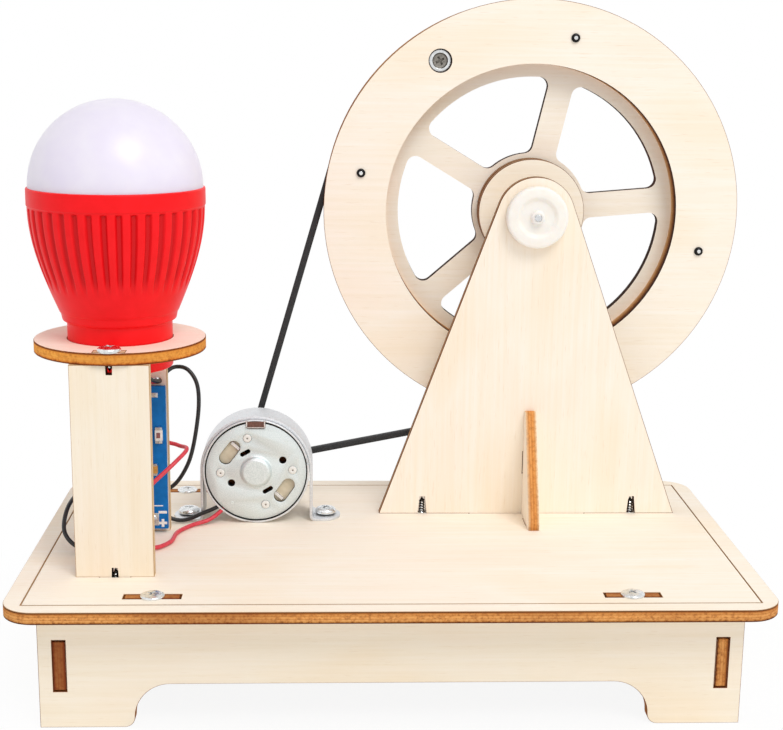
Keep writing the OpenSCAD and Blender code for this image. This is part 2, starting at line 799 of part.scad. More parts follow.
// An oblong that points round the motor's axis
module oblong(pos, l, w) {
    a = atan2(pos[1], pos[0]) + 90;
    translate(pos) rotate(a) {
        square([l - w, w], center = true);
        for (s = [-1, 1])
            translate([s * (l - w) / 2, 0]) circle(w / 2);
    }
}

module motor_can() {
    back = motor_l - can_t;
    color(STEEL) in_motor() difference() {
        union() {
            cylinder(r = motor_r, h = motor_l);
            translate([0, 0, motor_l - 0.1]) cylinder(r = bush_r + 1.2, h = rear_boss_l + 0.1);
        }
        translate([0, 0, -1]) cylinder(r = can_bore_r, h = back + 1);
        translate([0, 0, back - 1]) cylinder(r = bush_r + press_gap, h = motor_l + rear_boss_l);
    }
}

module motor_end_cap() {
    front = cap_y - boss_l;
    color(STEEL) in_motor() difference() {
        union() {
            translate([0, 0, cap_y]) cylinder(r = can_bore_r - press_gap, h = cap_t);
            translate([0, 0, front])
                cylinder(r1 = boss_d / 2 - boss_chamfer, r2 = boss_d / 2, h = boss_chamfer);
            translate([0, 0, front + boss_chamfer]) cylinder(r = boss_d / 2, h = boss_l);
        }
        translate([0, 0, front + boss_t]) cylinder(r = bush_r + press_gap, h = boss_l + cap_t);
        translate([0, 0, cap_y - 0.5]) linear_extrude(cap_t + 1) {
            for (p = cap_window_pos)
                oblong(p, cap_window_l, cap_window_w);
            for (p = cap_slot_pos)
                oblong(p, cap_slot_l, cap_slot_w);
            for (p = cap_hole_pos)
                translate(p) circle(cap_hole_r);
            for (p = pin_pos)
                translate(p) circle(pin_r + fit_gap);
            translate([0, -can_bore_r]) square([cap_notch_w, 2 * cap_notch_h], center = true);
        }
    }
}

module motor_brush_holder() {
    // The key that shows in the end cap's top notch
    key_w = cap_notch_w - 0.5;
    key_h = cap_notch_h - 0.4;
    color(BEIGE) in_motor() {
        translate([0, 0, holder_y]) linear_extrude(holder_t) difference() {
            circle(can_bore_r - press_gap - fit_gap);
            circle(commutator_r + 2.4);
        }
        for (p = pin_pos)
            translate([p[0], p[1], cap_y - pin_stand]) cylinder(r = pin_r, h = cap_t + 1);
        translate([-key_w / 2, -can_bore_r + 2 * fit_gap, cap_y]) cube([key_w, key_h, cap_t + 0.5]);
    }
}

module motor_brushes() {
    strip = 0.3;
    color(COPPER) in_motor()
        for (s = [-1, 1])
            translate([s * (commutator_r + end_gap + strip / 2), 0, holder_y + holder_t / 2])
                cube([strip, 2 * (commutator_r + 1.1), holder_t - 0.2], center = true);
}

module motor_magnets() {
    color([0.25, 0.25, 0.27]) in_motor()
        translate([0, 0, magnet_y0]) linear_extrude(magnet_y1 - magnet_y0) difference() {
            circle(can_bore_r - can_gap);
            circle(can_bore_r - can_gap - magnet_t);
            square([7, 2 * motor_r], center = true);
        }
}

module motor_bushes() {
    rear_l = can_t + rear_boss_l;
    color([0.76, 0.60, 0.32]) in_motor() {
        translate([0, 0, cap_y - boss_l + boss_t]) bush(cap_t + boss_l - boss_t);
        translate([0, 0, motor_l - can_t]) bush(rear_l);
    }
}

module bush(l) {
    difference() {
        cylinder(r = bush_r, h = l);
        translate([0, 0, -1]) cylinder(r = shaft_d / 2 + run_gap, h = l + 2);
    }
}

module motor_shaft() {
    color(STEEL) in_motor()
        translate([0, 0, cap_y - 0.4]) cylinder(r = shaft_d / 2, h = shaft_end - motor_y - cap_y + 0.4);
}

module motor_armature() {
    y0 = magnet_y0 + armature_inset;
    y1 = magnet_y1 - 0.6;
    slot_w = 1.6;
    color(COPPER) in_motor()
        translate([0, 0, y0]) linear_extrude(y1 - y0) difference() {
            circle(armature_r);
            circle(shaft_d / 2 + press_gap);
            for (a = [0, 120, 240])
                rotate(a) translate([armature_r * 0.45, -slot_w / 2]) square([armature_r, slot_w]);
        }
}

module motor_commutator() {
    y0 = holder_y + end_gap;
    y1 = magnet_y0 + armature_inset;
    color(COPPER) in_motor()
        translate([0, 0, y0]) linear_extrude(y1 - y0) difference() {
            circle(commutator_r);
            circle(shaft_d / 2 + press_gap);
        }
}

// The flanged pulley at the rear end of the shaft
module motor_pulley() {
    back = belt_y - motor_y;
    color(NYLON) in_motor() translate([0, 0, back - pulley_w / 2]) difference() {
        union() {
            cylinder(r = pulley_hub_r, h = pulley_w);
            cylinder(r = pulley_r, h = pulley_flange_t);
            translate([0, 0, pulley_w - pulley_flange_t]) cylinder(r = pulley_r, h = pulley_flange_t);
        }
        translate([0, 0, -1]) cylinder(r = shaft_d / 2 + press_gap, h = pulley_w + 2);
    }
}

// The steel strip over the can, seen from the front
module motor_bracket() {
    inner = motor_r + can_gap;
    outer = inner + strap_t;
    foot = bracket_pitch / 2 + foot_past_screw;
    drop = motor_z - base_h;
    color(STEEL) in_motor() translate([0, 0, strap_back]) difference() {
        linear_extrude(strap_w) difference() {
            union() {
                circle(outer);
                translate([-outer, 0]) square([2 * outer, drop]);
                translate([-foot, drop - strap_t]) square([2 * foot, strap_t]);
            }
            circle(inner);
            translate([-inner, 0]) square([2 * inner, drop + 1]);
        }
        for (x = [-1, 1])
            translate([x * bracket_pitch / 2, drop - strap_t - 1, strap_w / 2]) rotate([-90, 0, 0])
                cylinder(r = screw_d / 2 + 0.2, h = strap_t + 2);
    }
}

module bracket_screws() {
    color(STEEL) placed()
        for (x = [-1, 1])
            translate([motor_x + x * bracket_pitch / 2, motor_y + strap_back + strap_w / 2,
                base_h + strap_t]) rotate([0, 0, 15 + 25 * x]) pan_screw(strap_t + ply_t + 1);
}

// Axle support

// Outline of the support: straight sides that run into a round top
module support_outline() {
    reach = norm([support_w / 2, axle_h]);
    side_a = atan2(axle_h, support_w / 2) + asin(support_top_r / reach) - 90;
    top = arc([0, axle_h], support_top_r, -side_a, 180 + side_a, 36);
    difference() {
        union() {
            polygon(concat([[-support_w / 2, 0], [support_w / 2, 0]], top));
            translate([-support_tab_w / 2, -ply_t]) square([support_tab_w, ply_t + 1]);
        }
        translate([0, axle_h]) circle(axle_d / 2 + run_gap);
        for (x = [-1, 1])
            translate([x * support_pitch / 2, -1]) screw_slit(support_slit_h + 1);
        translate([-ply_t / 2 - fit_gap, brace_h / 2 - brace_tab / 2 - fit_gap])
            square([ply_t + 2 * fit_gap, brace_tab + 2 * fit_gap]);
    }
}

module axle_support() {
    color(PLY) placed() board_facing_front(support_y) translate([axle_x, base_h]) support_outline();
}

module support_brace() {
    tip = 1.8;
    heel = 2;
    color(PLY) placed() board_facing_side(axle_x - ply_t / 2) translate([support_y, base_h]) {
        polygon([[0, 0], [0, brace_h], [-tip, brace_h], [-brace_l, heel], [-brace_l, 0]]);
        translate([-brace_l / 2 - brace_tab / 2, -ply_t]) square([brace_tab, ply_t + 1]);
        translate([-1, brace_h / 2 - brace_tab / 2]) square([ply_t + 1, brace_tab]);
    }
}

module support_screws() {
    color(STEEL) placed()
        for (x = [-1, 1])
            translate([axle_x + x * support_pitch / 2, support_y + ply_t / 2, skirt_h])
                rotate([180, 0, 0]) pan_screw(ply_t + support_slit_h - tip_gap);
}

// Wheel

// The holes through the rim: small ones for the rim screws and one for the crank screw
module rim_holes(small_r, crank_r) {
    for (i = [0 : rim_screw_count - 1])
        rotate(rim_screw_angle + 360 * i / rim_screw_count)
            translate([crank_circle_d / 2, 0]) circle(small_r);
    rotate(crank_angle) translate([crank_circle_d / 2, 0]) circle(crank_r);
}

module wheel_front_ring() {
    color(PLY) placed() layer(ring_y) difference() {
        circle(wheel_d / 2, $fn = 144);
        circle(ring_bore_d / 2, $fn = 144);
        rim_holes(rim_hole_r, crank_head_d / 2 + head_gap);
    }
}

module wheel_core_ring() {
    color(PLY) placed() layer(core_y) difference() {
        circle(groove_r, $fn = 144);
        circle(ring_bore_d / 2, $fn = 144);
        rim_holes(rim_hole_r, crank_hole_r);
    }
}

// One opening between two spokes, about +x, with round corners
module window() {
    half = 180 / spoke_count;
    outer = window_d / 2 - window_r;
    inner = hub_d / 2 + window_r;
    side = spoke_w / 2 + window_r;
    outer_a = half - asin(side / outer);
    inner_a = half - asin(side / inner);
    upper = concat(
        arc([0, 0], window_d / 2, 0, outer_a, 8),
        arc(outer * [cos(outer_a), sin(outer_a)], window_r, outer_a + 10, half + 90, 6),
        arc(inner * [cos(inner_a), sin(inner_a)], window_r, half + 90, inner_a + 170, 6),
        arc([0, 0], hub_d / 2, inner_a, 0, 4)
    );
    polygon(concat(upper, [for (i = [len(upper) - 2 : -1 : 1]) [upper[i][0], -upper[i][1]]]));
}

module wheel_spoked_disc() {
    color(PLY) placed() layer(disc_y) difference() {
        circle(wheel_d / 2, $fn = 144);
        circle(axle_d / 2 + press_gap);
        rim_holes(rim_hole_r, crank_hole_r);
        for (i = [0 : spoke_count - 1])
            rotate(spoke_angle + 360 * (i + 0.5) / spoke_count) window();
    }
}

module hub_outline() {
    difference() {
        circle(hub_disc_d / 2);
        circle(axle_d / 2 + press_gap);
    }
}

module hub_front_disc() {
    color(PLY) placed() layer(ring_y) hub_outline();
}

module hub_middle_disc() {
    color(PLY) placed() layer(core_y) hub_outline();
}

module rim_screws() {
    color(STEEL) placed() translate([axle_x, ring_y, axle_z])
        for (i = [0 : rim_screw_count - 1])
            rotate([0, -rim_screw_angle - 360 * i / rim_screw_count, 0])
                translate([crank_circle_d / 2, 0, 0]) rotate([90, 0, 0])
                    pan_screw(3 * ply_t - 1, rim_head_d, 0.8, rim_shank_d);
}

module axle() {
    color(STEEL) placed() rod_y(axle_x, axle_z, axle_d / 2, axle_y0, axle_y1);
}

// Plain tube round the axle that keeps the wheel off the support
module axle_spacer() {
    color(NYLON) placed() difference() {
        rod_y(axle_x, axle_z, spacer_d / 2, support_back + end_gap, ring_y);
        rod_y(axle_x, axle_z, axle_d / 2 + press_gap, support_y, ring_y + 1);
    }
}

// Push-on cap for the end of the axle. It lies on z = 0 with its recessed face up.
module axle_cap() {
    recess = 1.2;
    difference() {
        union() {
            difference() {
                cylinder(r = cap_d / 2, h = cap_l);
                translate([0, 0, cap_l - recess]) cylinder(r = cap_recess_d / 2, h = recess + 1);
            }
            cylinder(r = cap_boss_d / 2, h = cap_l + cap_boss_h);
        }
        translate([0, 0, -1]) cylinder(r = axle_d / 2 + press_gap, h = cap_l + cap_boss_h + 2);
    }
}

module axle_front_cap() {
    color(NYLON) placed() translate([axle_x, support_y - end_gap, axle_z]) rotate([90, 0, 0])
        axle_cap();
}

module axle_rear_cap() {
    color(NYLON) placed() translate([axle_x, wheel_back, axle_z]) rotate([-90, 0, 0]) axle_cap();
}

// Crank

module crank_screw() {
    color(STEEL) placed() translate([crank_x, core_y, crank_z]) rotate([90, 0, 0])
        pan_screw(crank_end - core_y, crank_head_d, crank_head_h, crank_screw_d, 0.4,
            crank_screw_d / 2 - 0.4);
}

// One nut holds the screw to the wheel and one keeps the handle on
module crank_nuts() {
    color(STEEL) placed()
        for (y = [wheel_back, handle_end + end_gap])
            translate([crank_x, y, crank_z]) rotate([-90, 0, 0]) difference() {
                cylinder(d = nut_w / cos(30), h = nut_h, $fn = 6);
                translate([0, 0, -1]) cylinder(r = crank_screw_d / 2 + press_gap, h = nut_h + 2);
            }
}

module crank_handle() {
    r = handle_d / 2;
    bore = crank_screw_d / 2 + run_gap;
    color([0.86, 0.68, 0.44]) placed() translate([crank_x, handle_y, crank_z]) rotate([-90, 0, 0])
        rotate_extrude() polygon([
            [bore, 0], [r * 0.72, 0], [r * 0.86, 0.9], [r * 0.9, 2.4],
            [r * 0.97, handle_l * 0.3], [r, handle_l * 0.55], [r * 0.97, handle_l * 0.8],
            [r * 0.88, handle_l - 1.6], [r * 0.66, handle_l], [bore, handle_l]
        ]);
}

// Belt

// The convex outline round both pulleys, at a distance off outside the belt's middle line
module belt_outline(off) {
    polygon(concat(
        arc([axle_x, axle_z], belt_wheel_r + off, belt_dir + belt_wrap - 360, belt_dir - belt_wrap, 96),
        arc([motor_x, motor_z], belt_pulley_r + off, belt_dir - belt_wrap, belt_dir + belt_wrap, 24)
    ));
}

module drive_belt() {
    color(RUBBER) placed() board_facing_front(belt_y - belt_t / 2, belt_t) difference() {
        belt_outline(belt_t / 2);
        belt_outline(-belt_t / 2);
    }
}

// Leads

module lead(route) {
    placed() translate([0, 0, base_h]) tube(route, lead_d);
}

module motor_lead_red() {
    color(RED) lead(MOTOR_RED_ROUTE);
}

module motor_lead_black() {
    color(RUBBER) lead(MOTOR_BLACK_ROUTE);
}

module lamp_lead_red() {
    color(RED) lead(LAMP_RED_ROUTE);
}

module lamp_lead_black() {
    color(RUBBER) lead(LAMP_BLACK_ROUTE);
}

base_plate();
front_skirt();
rear_skirt();
left_side_panel();
right_side_panel();
base_screws();
post_front_board();
post_rear_board();
lamp_platform();
post_screws();
platform_screws();
converter_board();
converter_parts();
board_pad();
bulb_housing();
bulb_dome();
bulb_led_board();
motor_can();
motor_end_cap();
motor_brush_holder();
motor_brushes();
motor_magnets();
motor_bushes();
motor_shaft();
motor_armature();
motor_commutator();
motor_pulley();
motor_bracket();
bracket_screws();
axle_support();
support_brace();
support_screws();
wheel_front_ring();
wheel_core_ring();
wheel_spoked_disc();
hub_front_disc();
hub_middle_disc();
rim_screws();
axle();
axle_spacer();
axle_front_cap();
axle_rear_cap();
crank_screw();
crank_nuts();
crank_handle();
drive_belt();
motor_lead_red();
motor_lead_black();
lamp_lead_red();
lamp_lead_black();
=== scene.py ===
# %% [markdown]
# # Hand crank generator
# A plywood wheel with a handle drives a small motor through a rubber belt, and the motor's
# current lights a lamp on a post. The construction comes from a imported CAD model, which this
# script loads as a fixed frame. The script gives every piece its real surface: it rounds cut
# edges, turns round pieces on a lathe, winds threads, and mixes each material from nodes.

# %% Load the frame
import json
import math

import bmesh
import bpy
from mathutils import Matrix, Vector

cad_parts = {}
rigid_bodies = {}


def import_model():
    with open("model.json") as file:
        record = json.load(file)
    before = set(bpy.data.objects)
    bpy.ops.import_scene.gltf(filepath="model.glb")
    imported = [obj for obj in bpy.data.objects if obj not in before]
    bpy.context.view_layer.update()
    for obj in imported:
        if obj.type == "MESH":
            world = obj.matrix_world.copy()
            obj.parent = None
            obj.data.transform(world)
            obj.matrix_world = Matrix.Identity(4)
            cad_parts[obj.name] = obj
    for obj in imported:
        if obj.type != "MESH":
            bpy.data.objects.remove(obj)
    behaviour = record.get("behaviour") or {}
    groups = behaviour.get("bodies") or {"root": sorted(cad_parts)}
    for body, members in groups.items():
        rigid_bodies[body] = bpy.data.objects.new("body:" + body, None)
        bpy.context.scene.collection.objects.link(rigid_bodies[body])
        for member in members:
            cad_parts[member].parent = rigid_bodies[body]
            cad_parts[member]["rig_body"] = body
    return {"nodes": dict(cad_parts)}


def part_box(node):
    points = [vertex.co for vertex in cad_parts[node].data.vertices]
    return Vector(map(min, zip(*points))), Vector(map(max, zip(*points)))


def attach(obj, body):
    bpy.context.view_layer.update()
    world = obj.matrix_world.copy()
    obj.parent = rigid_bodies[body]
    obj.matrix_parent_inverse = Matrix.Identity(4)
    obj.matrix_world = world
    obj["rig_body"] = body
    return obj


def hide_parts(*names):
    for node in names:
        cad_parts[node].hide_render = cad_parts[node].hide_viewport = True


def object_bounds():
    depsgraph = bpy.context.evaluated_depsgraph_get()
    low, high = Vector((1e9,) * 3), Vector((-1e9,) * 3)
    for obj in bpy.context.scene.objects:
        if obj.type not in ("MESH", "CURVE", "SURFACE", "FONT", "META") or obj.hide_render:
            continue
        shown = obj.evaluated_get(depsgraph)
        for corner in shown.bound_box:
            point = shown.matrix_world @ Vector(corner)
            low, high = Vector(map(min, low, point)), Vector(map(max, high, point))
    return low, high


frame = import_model()
cad_low, cad_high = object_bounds()
nodes = frame["nodes"]
MM = 0.001
print("CAD box in mm:", [round(c / MM, 1) for c in (*cad_low, *cad_high)])

# %% [markdown]
# Places are taken from the frame, so that a piece sits where the CAD says. Five of them are
# used again and again: the middle of the plate's top, the middle of the lamp platform's top,
# the wheel's axle, the middle of the motor's front and the crank screw. Lengths in this
# script are millimetres until they are put in place.

# %% Places


def middle(name):
    """The middle of a CAD node's box, in metres."""
    low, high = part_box(name)
    return (low + high) / 2


def top_of(name):
    """The middle of the top of a CAD node's box, in metres."""
    return Vector((*middle(name).xy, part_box(name)[1].z))


PLATE = top_of("base_plate")
LAMP = top_of("lamp_platform")
AXLE = middle("axle")
MOTOR = Vector((middle("motor_can").x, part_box("motor_can")[0].y, middle("motor_can").z))
CRANK = middle("crank_handle")
FACING = {
    "up": Matrix(),
    "down": Matrix.Rotation(math.pi, 4, "X"),
    "front": Matrix.Rotation(math.pi / 2, 4, "X"),
    "back": Matrix.Rotation(-math.pi / 2, 4, "X"),
}


def place(point, facing="up"):
    """Matrix that takes a shape drawn in millimetres, with its axis along Z, to its place."""
    return Matrix.Translation(point) @ FACING[facing] @ Matrix.Scale(MM, 4)


places = {"plate": PLATE, "lamp": LAMP, "axle": AXLE, "motor": MOTOR, "crank": CRANK}
for label, point in places.items():
    print(label, "at", [round(c / MM, 1) for c in point], "mm")

# %% [markdown]
# The camera stands where the photograph was taken from: 0.37 m in front of the middle, nearly
# level with the wheel's top, looking 12 degrees down and 2 degrees to the right. Its place was
# worked out from the corners of the plate and the circle of the wheel.

# %% Camera
CAMERA_PLACE = (-0.017264, -0.368874, 0.158814)
CAMERA_YAW = math.radians(2.390)
CAMERA_PITCH = math.radians(-12.437)
CAMERA_ROLL = math.radians(0.694)
LENS = 65.66
SENSOR_W = 36


def new_object(name, data):
    """Puts an object with this data in the scene, at the origin."""
    obj = bpy.data.objects.new(name, data)
    bpy.context.scene.collection.objects.link(obj)
    return obj


camera = new_object("camera", bpy.data.cameras.new("camera"))
camera.data.lens = LENS
camera.data.sensor_width = SENSOR_W
camera.matrix_world = (
    Matrix.Translation(CAMERA_PLACE)
    @ Matrix.Rotation(-CAMERA_YAW, 4, "Z")
    @ Matrix.Rotation(math.pi / 2 + CAMERA_PITCH, 4, "X")
    @ Matrix.Rotation(CAMERA_ROLL, 4, "Z")
)
bpy.context.scene.camera = camera
print("camera at", [round(c / MM) for c in camera.location], "mm")

# %% [markdown]
# Every material and every Geometry Nodes tree below is built from nodes. One small function
# adds a node: plain settings are named arguments, and an input is given a value, or the
# output socket that feeds it. Colours are written as sRGB hex, the way an artist picks them,
# and Blender wants linear light, so one function turns them round. Nearly every material here
# ends alike, in a colour and a shallow relief, so that is a function too.

# %% Helpers for nodes


def srgb(code):
    """An sRGB hex colour such as #c27a32 as linear RGBA."""
    channels = [int(code[i:i + 2], 16) / 255 for i in (1, 3, 5)]
    linear = [c / 12.92 if c <= 0.04045 else ((c + 0.055) / 1.055) ** 2.4 for c in channels]
    return (*linear, 1.0)


def add(tree, kind, links=None, stops=None, **settings):
    """Adds a node. A link is a value, an sRGB hex colour, or the socket that feeds the input."""
    node = tree.nodes.new(kind)
    for name, value in settings.items():
        setattr(node, name, value)
    for name, value in (links or {}).items():
        if isinstance(value, bpy.types.NodeSocket):
            tree.links.new(value, node.inputs[name])
        else:
            coloured = isinstance(value, str) and value.startswith("#")
            node.inputs[name].default_value = srgb(value) if coloured else value
    if stops:
        elements = node.color_ramp.elements
        while len(elements) < len(stops):
            elements.new(0.5)
        for element, (position, colour) in zip(elements, stops):
            element.position = position
            element.color = srgb(colour)
    return node


def new_material(name, **finish):
    """Starts a material whose constant numbers and colours sit on the shader's own sockets."""
    material = bpy.data.materials.new(name)
    material.use_nodes = True
    shader = material.node_tree.nodes["Principled BSDF"]
    for key, value in finish.items():
        socket = shader.inputs[key.replace("_", " ")]
        socket.default_value = srgb(value) if isinstance(value, str) else value
    return material, material.node_tree, shader


def finish_surface(tree, shader, colour, height, strength, relief_mm):
    """Feeds a shader its colour, and a bump from a pattern that is that many millimetres high."""
    bump = add(tree, "ShaderNodeBump", {
        "Height": height, "Strength": strength, "Distance": relief_mm * MM})
    tree.links.new(colour, shader.inputs["Base Color"])
    tree.links.new(bump.outputs[0], shader.inputs["Normal"])


print("mid grey #808080 is", round(srgb("#808080")[0], 3), "in linear light")

# %% [markdown]
# The generator is laser-cut from 3 mm birch plywood. Its faces are bare, sanded veneer, pale
# cream and matt, with long soft streaks and short pores. The streaks follow the grain, which
# runs another way on each board, so the boards carry an attribute named sheet: how far along
# the grain, across it and through the board a point lies. One material then serves all. An
# attribute named tone makes some boards a little darker: partly because they come from
# different sheets, and partly as painted shade on boards that stand in less light.

# %% Plywood face


def streaks(tree, vector, size_mm, detail, **finish):
    """Noise drawn out to streaks of this length, width and thickness in millimetres."""
    drawn_out = add(tree, "ShaderNodeMapping", {
        "Vector": vector, "Scale": [1 / (size * MM) for size in size_mm]})
    return add(tree, "ShaderNodeTexNoise", {
        "Vector": drawn_out.outputs[0], "Scale": 1.0, "Detail": detail, **finish}).outputs["Fac"]


def birch_veneer():
    """Bare sanded birch: matt, with little gloss even at a grazing angle."""
    material, tree, shader = new_material(
        "birch_veneer", Roughness=0.66, Specular_IOR_Level=0.25
    )
    sheet = add(tree, "ShaderNodeAttribute", attribute_name="sheet").outputs["Vector"]
    scorch = add(tree, "ShaderNodeAttribute", attribute_name="scorch").outputs["Fac"]
    tone = add(tree, "ShaderNodeAttribute", attribute_name="tone").outputs["Fac"]
    # Growth streaks, about 1 mm wide and 40 mm long
    streak = streaks(tree, sheet, (40, 1.1, 3), 4.0, Roughness=0.6, Distortion=0.4)
    # Cloudy patches, about 30 mm across
    cloud = streaks(tree, sheet, (45, 22, 10), 2.0)
    # Pores, drawn 0.3 mm wide so that they show
    pore = streaks(tree, sheet, (4.5, 0.3, 2), 1.0)
    grain = add(tree, "ShaderNodeValToRGB", {"Fac": streak}, stops=[
        (0.30, "#fbf0de"), (0.48, "#fdf3e3"), (0.68, "#fff6e9")]).outputs["Color"]
    # A board's tone darkens its veneer, partly as the sheet's own colour and partly as painted
    # shade.
    darker = add(tree, "ShaderNodeMix", {0: tone, 6: "#ffffff", 7: "#f4eddd"},
                 data_type="RGBA").outputs[2]
    patch = add(tree, "ShaderNodeValToRGB", {"Fac": cloud}, stops=[
        (0.32, "#fefaf4"), (0.50, "#ffffff"), (0.70, "#fffbf9")]).outputs["Color"]
    toned_and_shaded = add(tree, "ShaderNodeMix", {0: 1.0, 6: grain, 7: darker},
                data_type="RGBA", blend_type="MULTIPLY").outputs[2]
    veneer = add(tree, "ShaderNodeMix", {0: 1.0, 6: toned_and_shaded, 7: patch},
                 data_type="RGBA", blend_type="MULTIPLY").outputs[2]
    specks = add(tree, "ShaderNodeMapRange", {
        "Value": pore, "From Min": 0.66, "From Max": 0.76, "To Max": 0.22}).outputs[0]
    pored = add(tree, "ShaderNodeMix", {0: specks, 6: veneer, 7: "#dcbf97"},
                data_type="RGBA").outputs[2]
    rim = add(tree, "ShaderNodeMath", {0: scorch, 1: 2.2}, operation="POWER").outputs[0]
    burn = add(tree, "ShaderNodeMath", {0: rim, 1: 0.18}, operation="MULTIPLY").outputs[0]
    colour = add(tree, "ShaderNodeMix", {0: burn, 6: pored, 7: "#b98450"},
                 data_type="RGBA").outputs[2]
    finish_surface(tree, shader, colour, streak, strength=0.25, relief_mm=0.05)
    return material


VENEER = birch_veneer()
print("made", VENEER.name)

# %% [markdown]
# The laser burns what it cuts. A cut edge is orange-brown and speckled, almost black where
# the beam entered and left, and fainter lines show where the middle veneer is glued in. The
# attribute depth runs from 0 on one face to 1 on the other, and a colour ramp turns it into
# those bands, so the bands follow every curve of the outline. Three other cuts need other
# bands. The wheel's deep bore is drawn darkest at its front and pale at its back. Narrow slits,
# the wheel's windows and the crank hole get near-black walls, partly laser char and partly
# painted shade.
# The engraved line round the plate is only tanned. The edges also differ from board to board,
# because the sheets were cut at other speeds: the support and the hub are darker near their
# faces, the lamp's platform is orange, the rib is toasted in its middle only, and the post's
# boards are hardly burnt.

# %% Burnt edges


def burnt(name, bands, mottle=0.5, toned_and_shaded=0.0):
    """Laser-cut birch plywood: dry and matt, with bands by depth and charred flecks.

    Mottle says how strong the flecks are, and the last number how much a board's tone darkens its
    edge. That tone is partly the sheet's own colour and partly painted shade.
    """
    material, tree, shader = new_material(name, Roughness=0.8, Specular_IOR_Level=0.15)
    depth = add(tree, "ShaderNodeAttribute", attribute_name="depth").outputs["Fac"]
    point = add(tree, "ShaderNodeTexCoord").outputs["Object"]
    # Charred fibres, drawn 0.9 mm across so that they show
    fleck = add(tree, "ShaderNodeTexNoise", {
        "Vector": point, "Scale": 1 / 0.0009, "Detail": 3.0, "Roughness": 0.65}).outputs["Fac"]
    # The beam slows and speeds up every few centimetres
    burn = add(tree, "ShaderNodeTexNoise", {
        "Vector": point, "Scale": 1 / 0.035, "Detail": 1.0}).outputs["Fac"]
    wavy = add(tree, "ShaderNodeMath", {
        0: add(tree, "ShaderNodeMath", {0: fleck, 1: 0.12, 2: -0.06},
               operation="MULTIPLY_ADD").outputs[0], 1: depth}, operation="ADD").outputs[0]
    colour = add(tree, "ShaderNodeValToRGB", {"Fac": wavy}, stops=bands).outputs["Color"]
    tint = add(tree, "ShaderNodeValToRGB", {"Fac": fleck}, stops=[
        (0.36, "#8f5a38"), (0.47, "#e6c8aa"), (0.58, "#ffffff")]).outputs["Color"]
    speckled = add(tree, "ShaderNodeMix", {0: mottle, 6: colour, 7: tint},
                   data_type="RGBA", blend_type="MULTIPLY").outputs[2]
    slow = add(tree, "ShaderNodeMapRange", {
        "Value": burn, "From Min": 0.48, "From Max": 0.68, "To Max": 0.7 * mottle}).outputs[0]
    tone = add(tree, "ShaderNodeAttribute", attribute_name="tone").outputs["Fac"]
    # The tone darkens the edge too, partly as painted shade.
    amount = add(tree, "ShaderNodeMath", {0: tone, 1: toned_and_shaded, 2: slow},
                 operation="MULTIPLY_ADD", use_clamp=True).outputs[0]
    final = add(tree, "ShaderNodeMix", {0: amount, 6: speckled, 7: "#7a3417"},
                data_type="RGBA").outputs[2]
    finish_surface(tree, shader, final, fleck, strength=0.4, relief_mm=0.08)
    return material


BURNT = burnt("laser_burnt_edge", [
    (0.0, "#b58454"), (0.05, "#4e250f"), (0.09, "#5e2f12"), (0.16, "#cb8a49"),
    (0.33, "#eeae66"), (0.38, "#c98548"), (0.44, "#ecaa62"), (0.60, "#e9a65e"),
    (0.65, "#c07c40"), (0.70, "#e9a55c"), (0.86, "#b97336"), (0.92, "#4c240e"),
    (0.96, "#4c240e"), (1.0, "#b58454")], toned_and_shaded=0.85)
ORANGE = burnt("orange_burnt_edge", [
    (0.0, "#c08a54"), (0.05, "#64300f"), (0.10, "#9a4f1a"), (0.20, "#f59a3e"),
    (0.36, "#ffb655"), (0.42, "#f6a045"), (0.48, "#ffb452"), (0.80, "#ffac4a"),
    (0.90, "#9a4f1a"), (0.95, "#64300f"), (1.0, "#c08a54")], mottle=0.4)
TOASTED = burnt("toasted_edge", [
    (0.0, "#f6dfc0"), (0.10, "#e9bd8c"), (0.28, "#d98f4a"), (0.40, "#efaa62"),
    (0.52, "#d48a45"), (0.66, "#eaa258"), (0.80, "#dc9a5a"), (0.92, "#f0cda0"),
    (1.0, "#f8e4c8")], mottle=0.3)
SMOKED = burnt("smoked_edge", [
    (0.0, "#8a5a38"), (0.08, "#2e160a"), (0.24, "#5f3519"), (0.36, "#c99a68"),
    (0.50, "#e2bd90"), (0.64, "#c08a58"), (0.76, "#5f3519"), (0.90, "#2e160a"),
    (1.0, "#6a4026")], mottle=0.25)
PALE = burnt("lightly_burnt_edge", [
    (0.0, "#d8b890"), (0.06, "#a77c52"), (0.14, "#dfc198"), (0.50, "#ead2ab"),
    (0.86, "#dfc198"), (0.94, "#a77c52"), (1.0, "#d8b890")], mottle=0.15)
# The bore's wall is drawn darkest at its front and pale at its back.
BORE = burnt("bore_wall_dark_front", [
    (0.0, "#5a3418"), (0.04, "#221007"), (0.20, "#42210e"), (0.42, "#7c4822"),
    (0.68, "#b9844e"), (0.90, "#dcb284"), (1.0, "#dcb284")], mottle=0.15)
# Near-black walls of slits, the wheel's windows and the crank hole: partly laser char, partly
# painted shade.
CHARRED_AND_SHADE = burnt("charred_and_shaded_wall", [
    (0.0, "#2c170b"), (0.5, "#3d2211"), (1.0, "#2c170b")], mottle=0.3)
ENGRAVED = burnt("engraved_line", [(0.0, "#b08a62"), (1.0, "#b99369")], mottle=0.1)
for edge in (BURNT, ORANGE, TOASTED, SMOKED, PALE, BORE, CHARRED_AND_SHADE, ENGRAVED):
    print("made", edge.name)

# %% [markdown]
# The screws are zinc plated: bright, a little blue and slightly uneven. The motor's can, its
# end cap and its bracket are satin plated sheet, greyer, with a fine speckle from the rolling.
# Both are metals, so the colour is the reflection's colour, and the roughness says how soft
# it is. The axle is ground bar. The same function makes the solder, the copper and what lies
# inside the motor, because each of these is one colour with specks of its own size.

# %% Metals


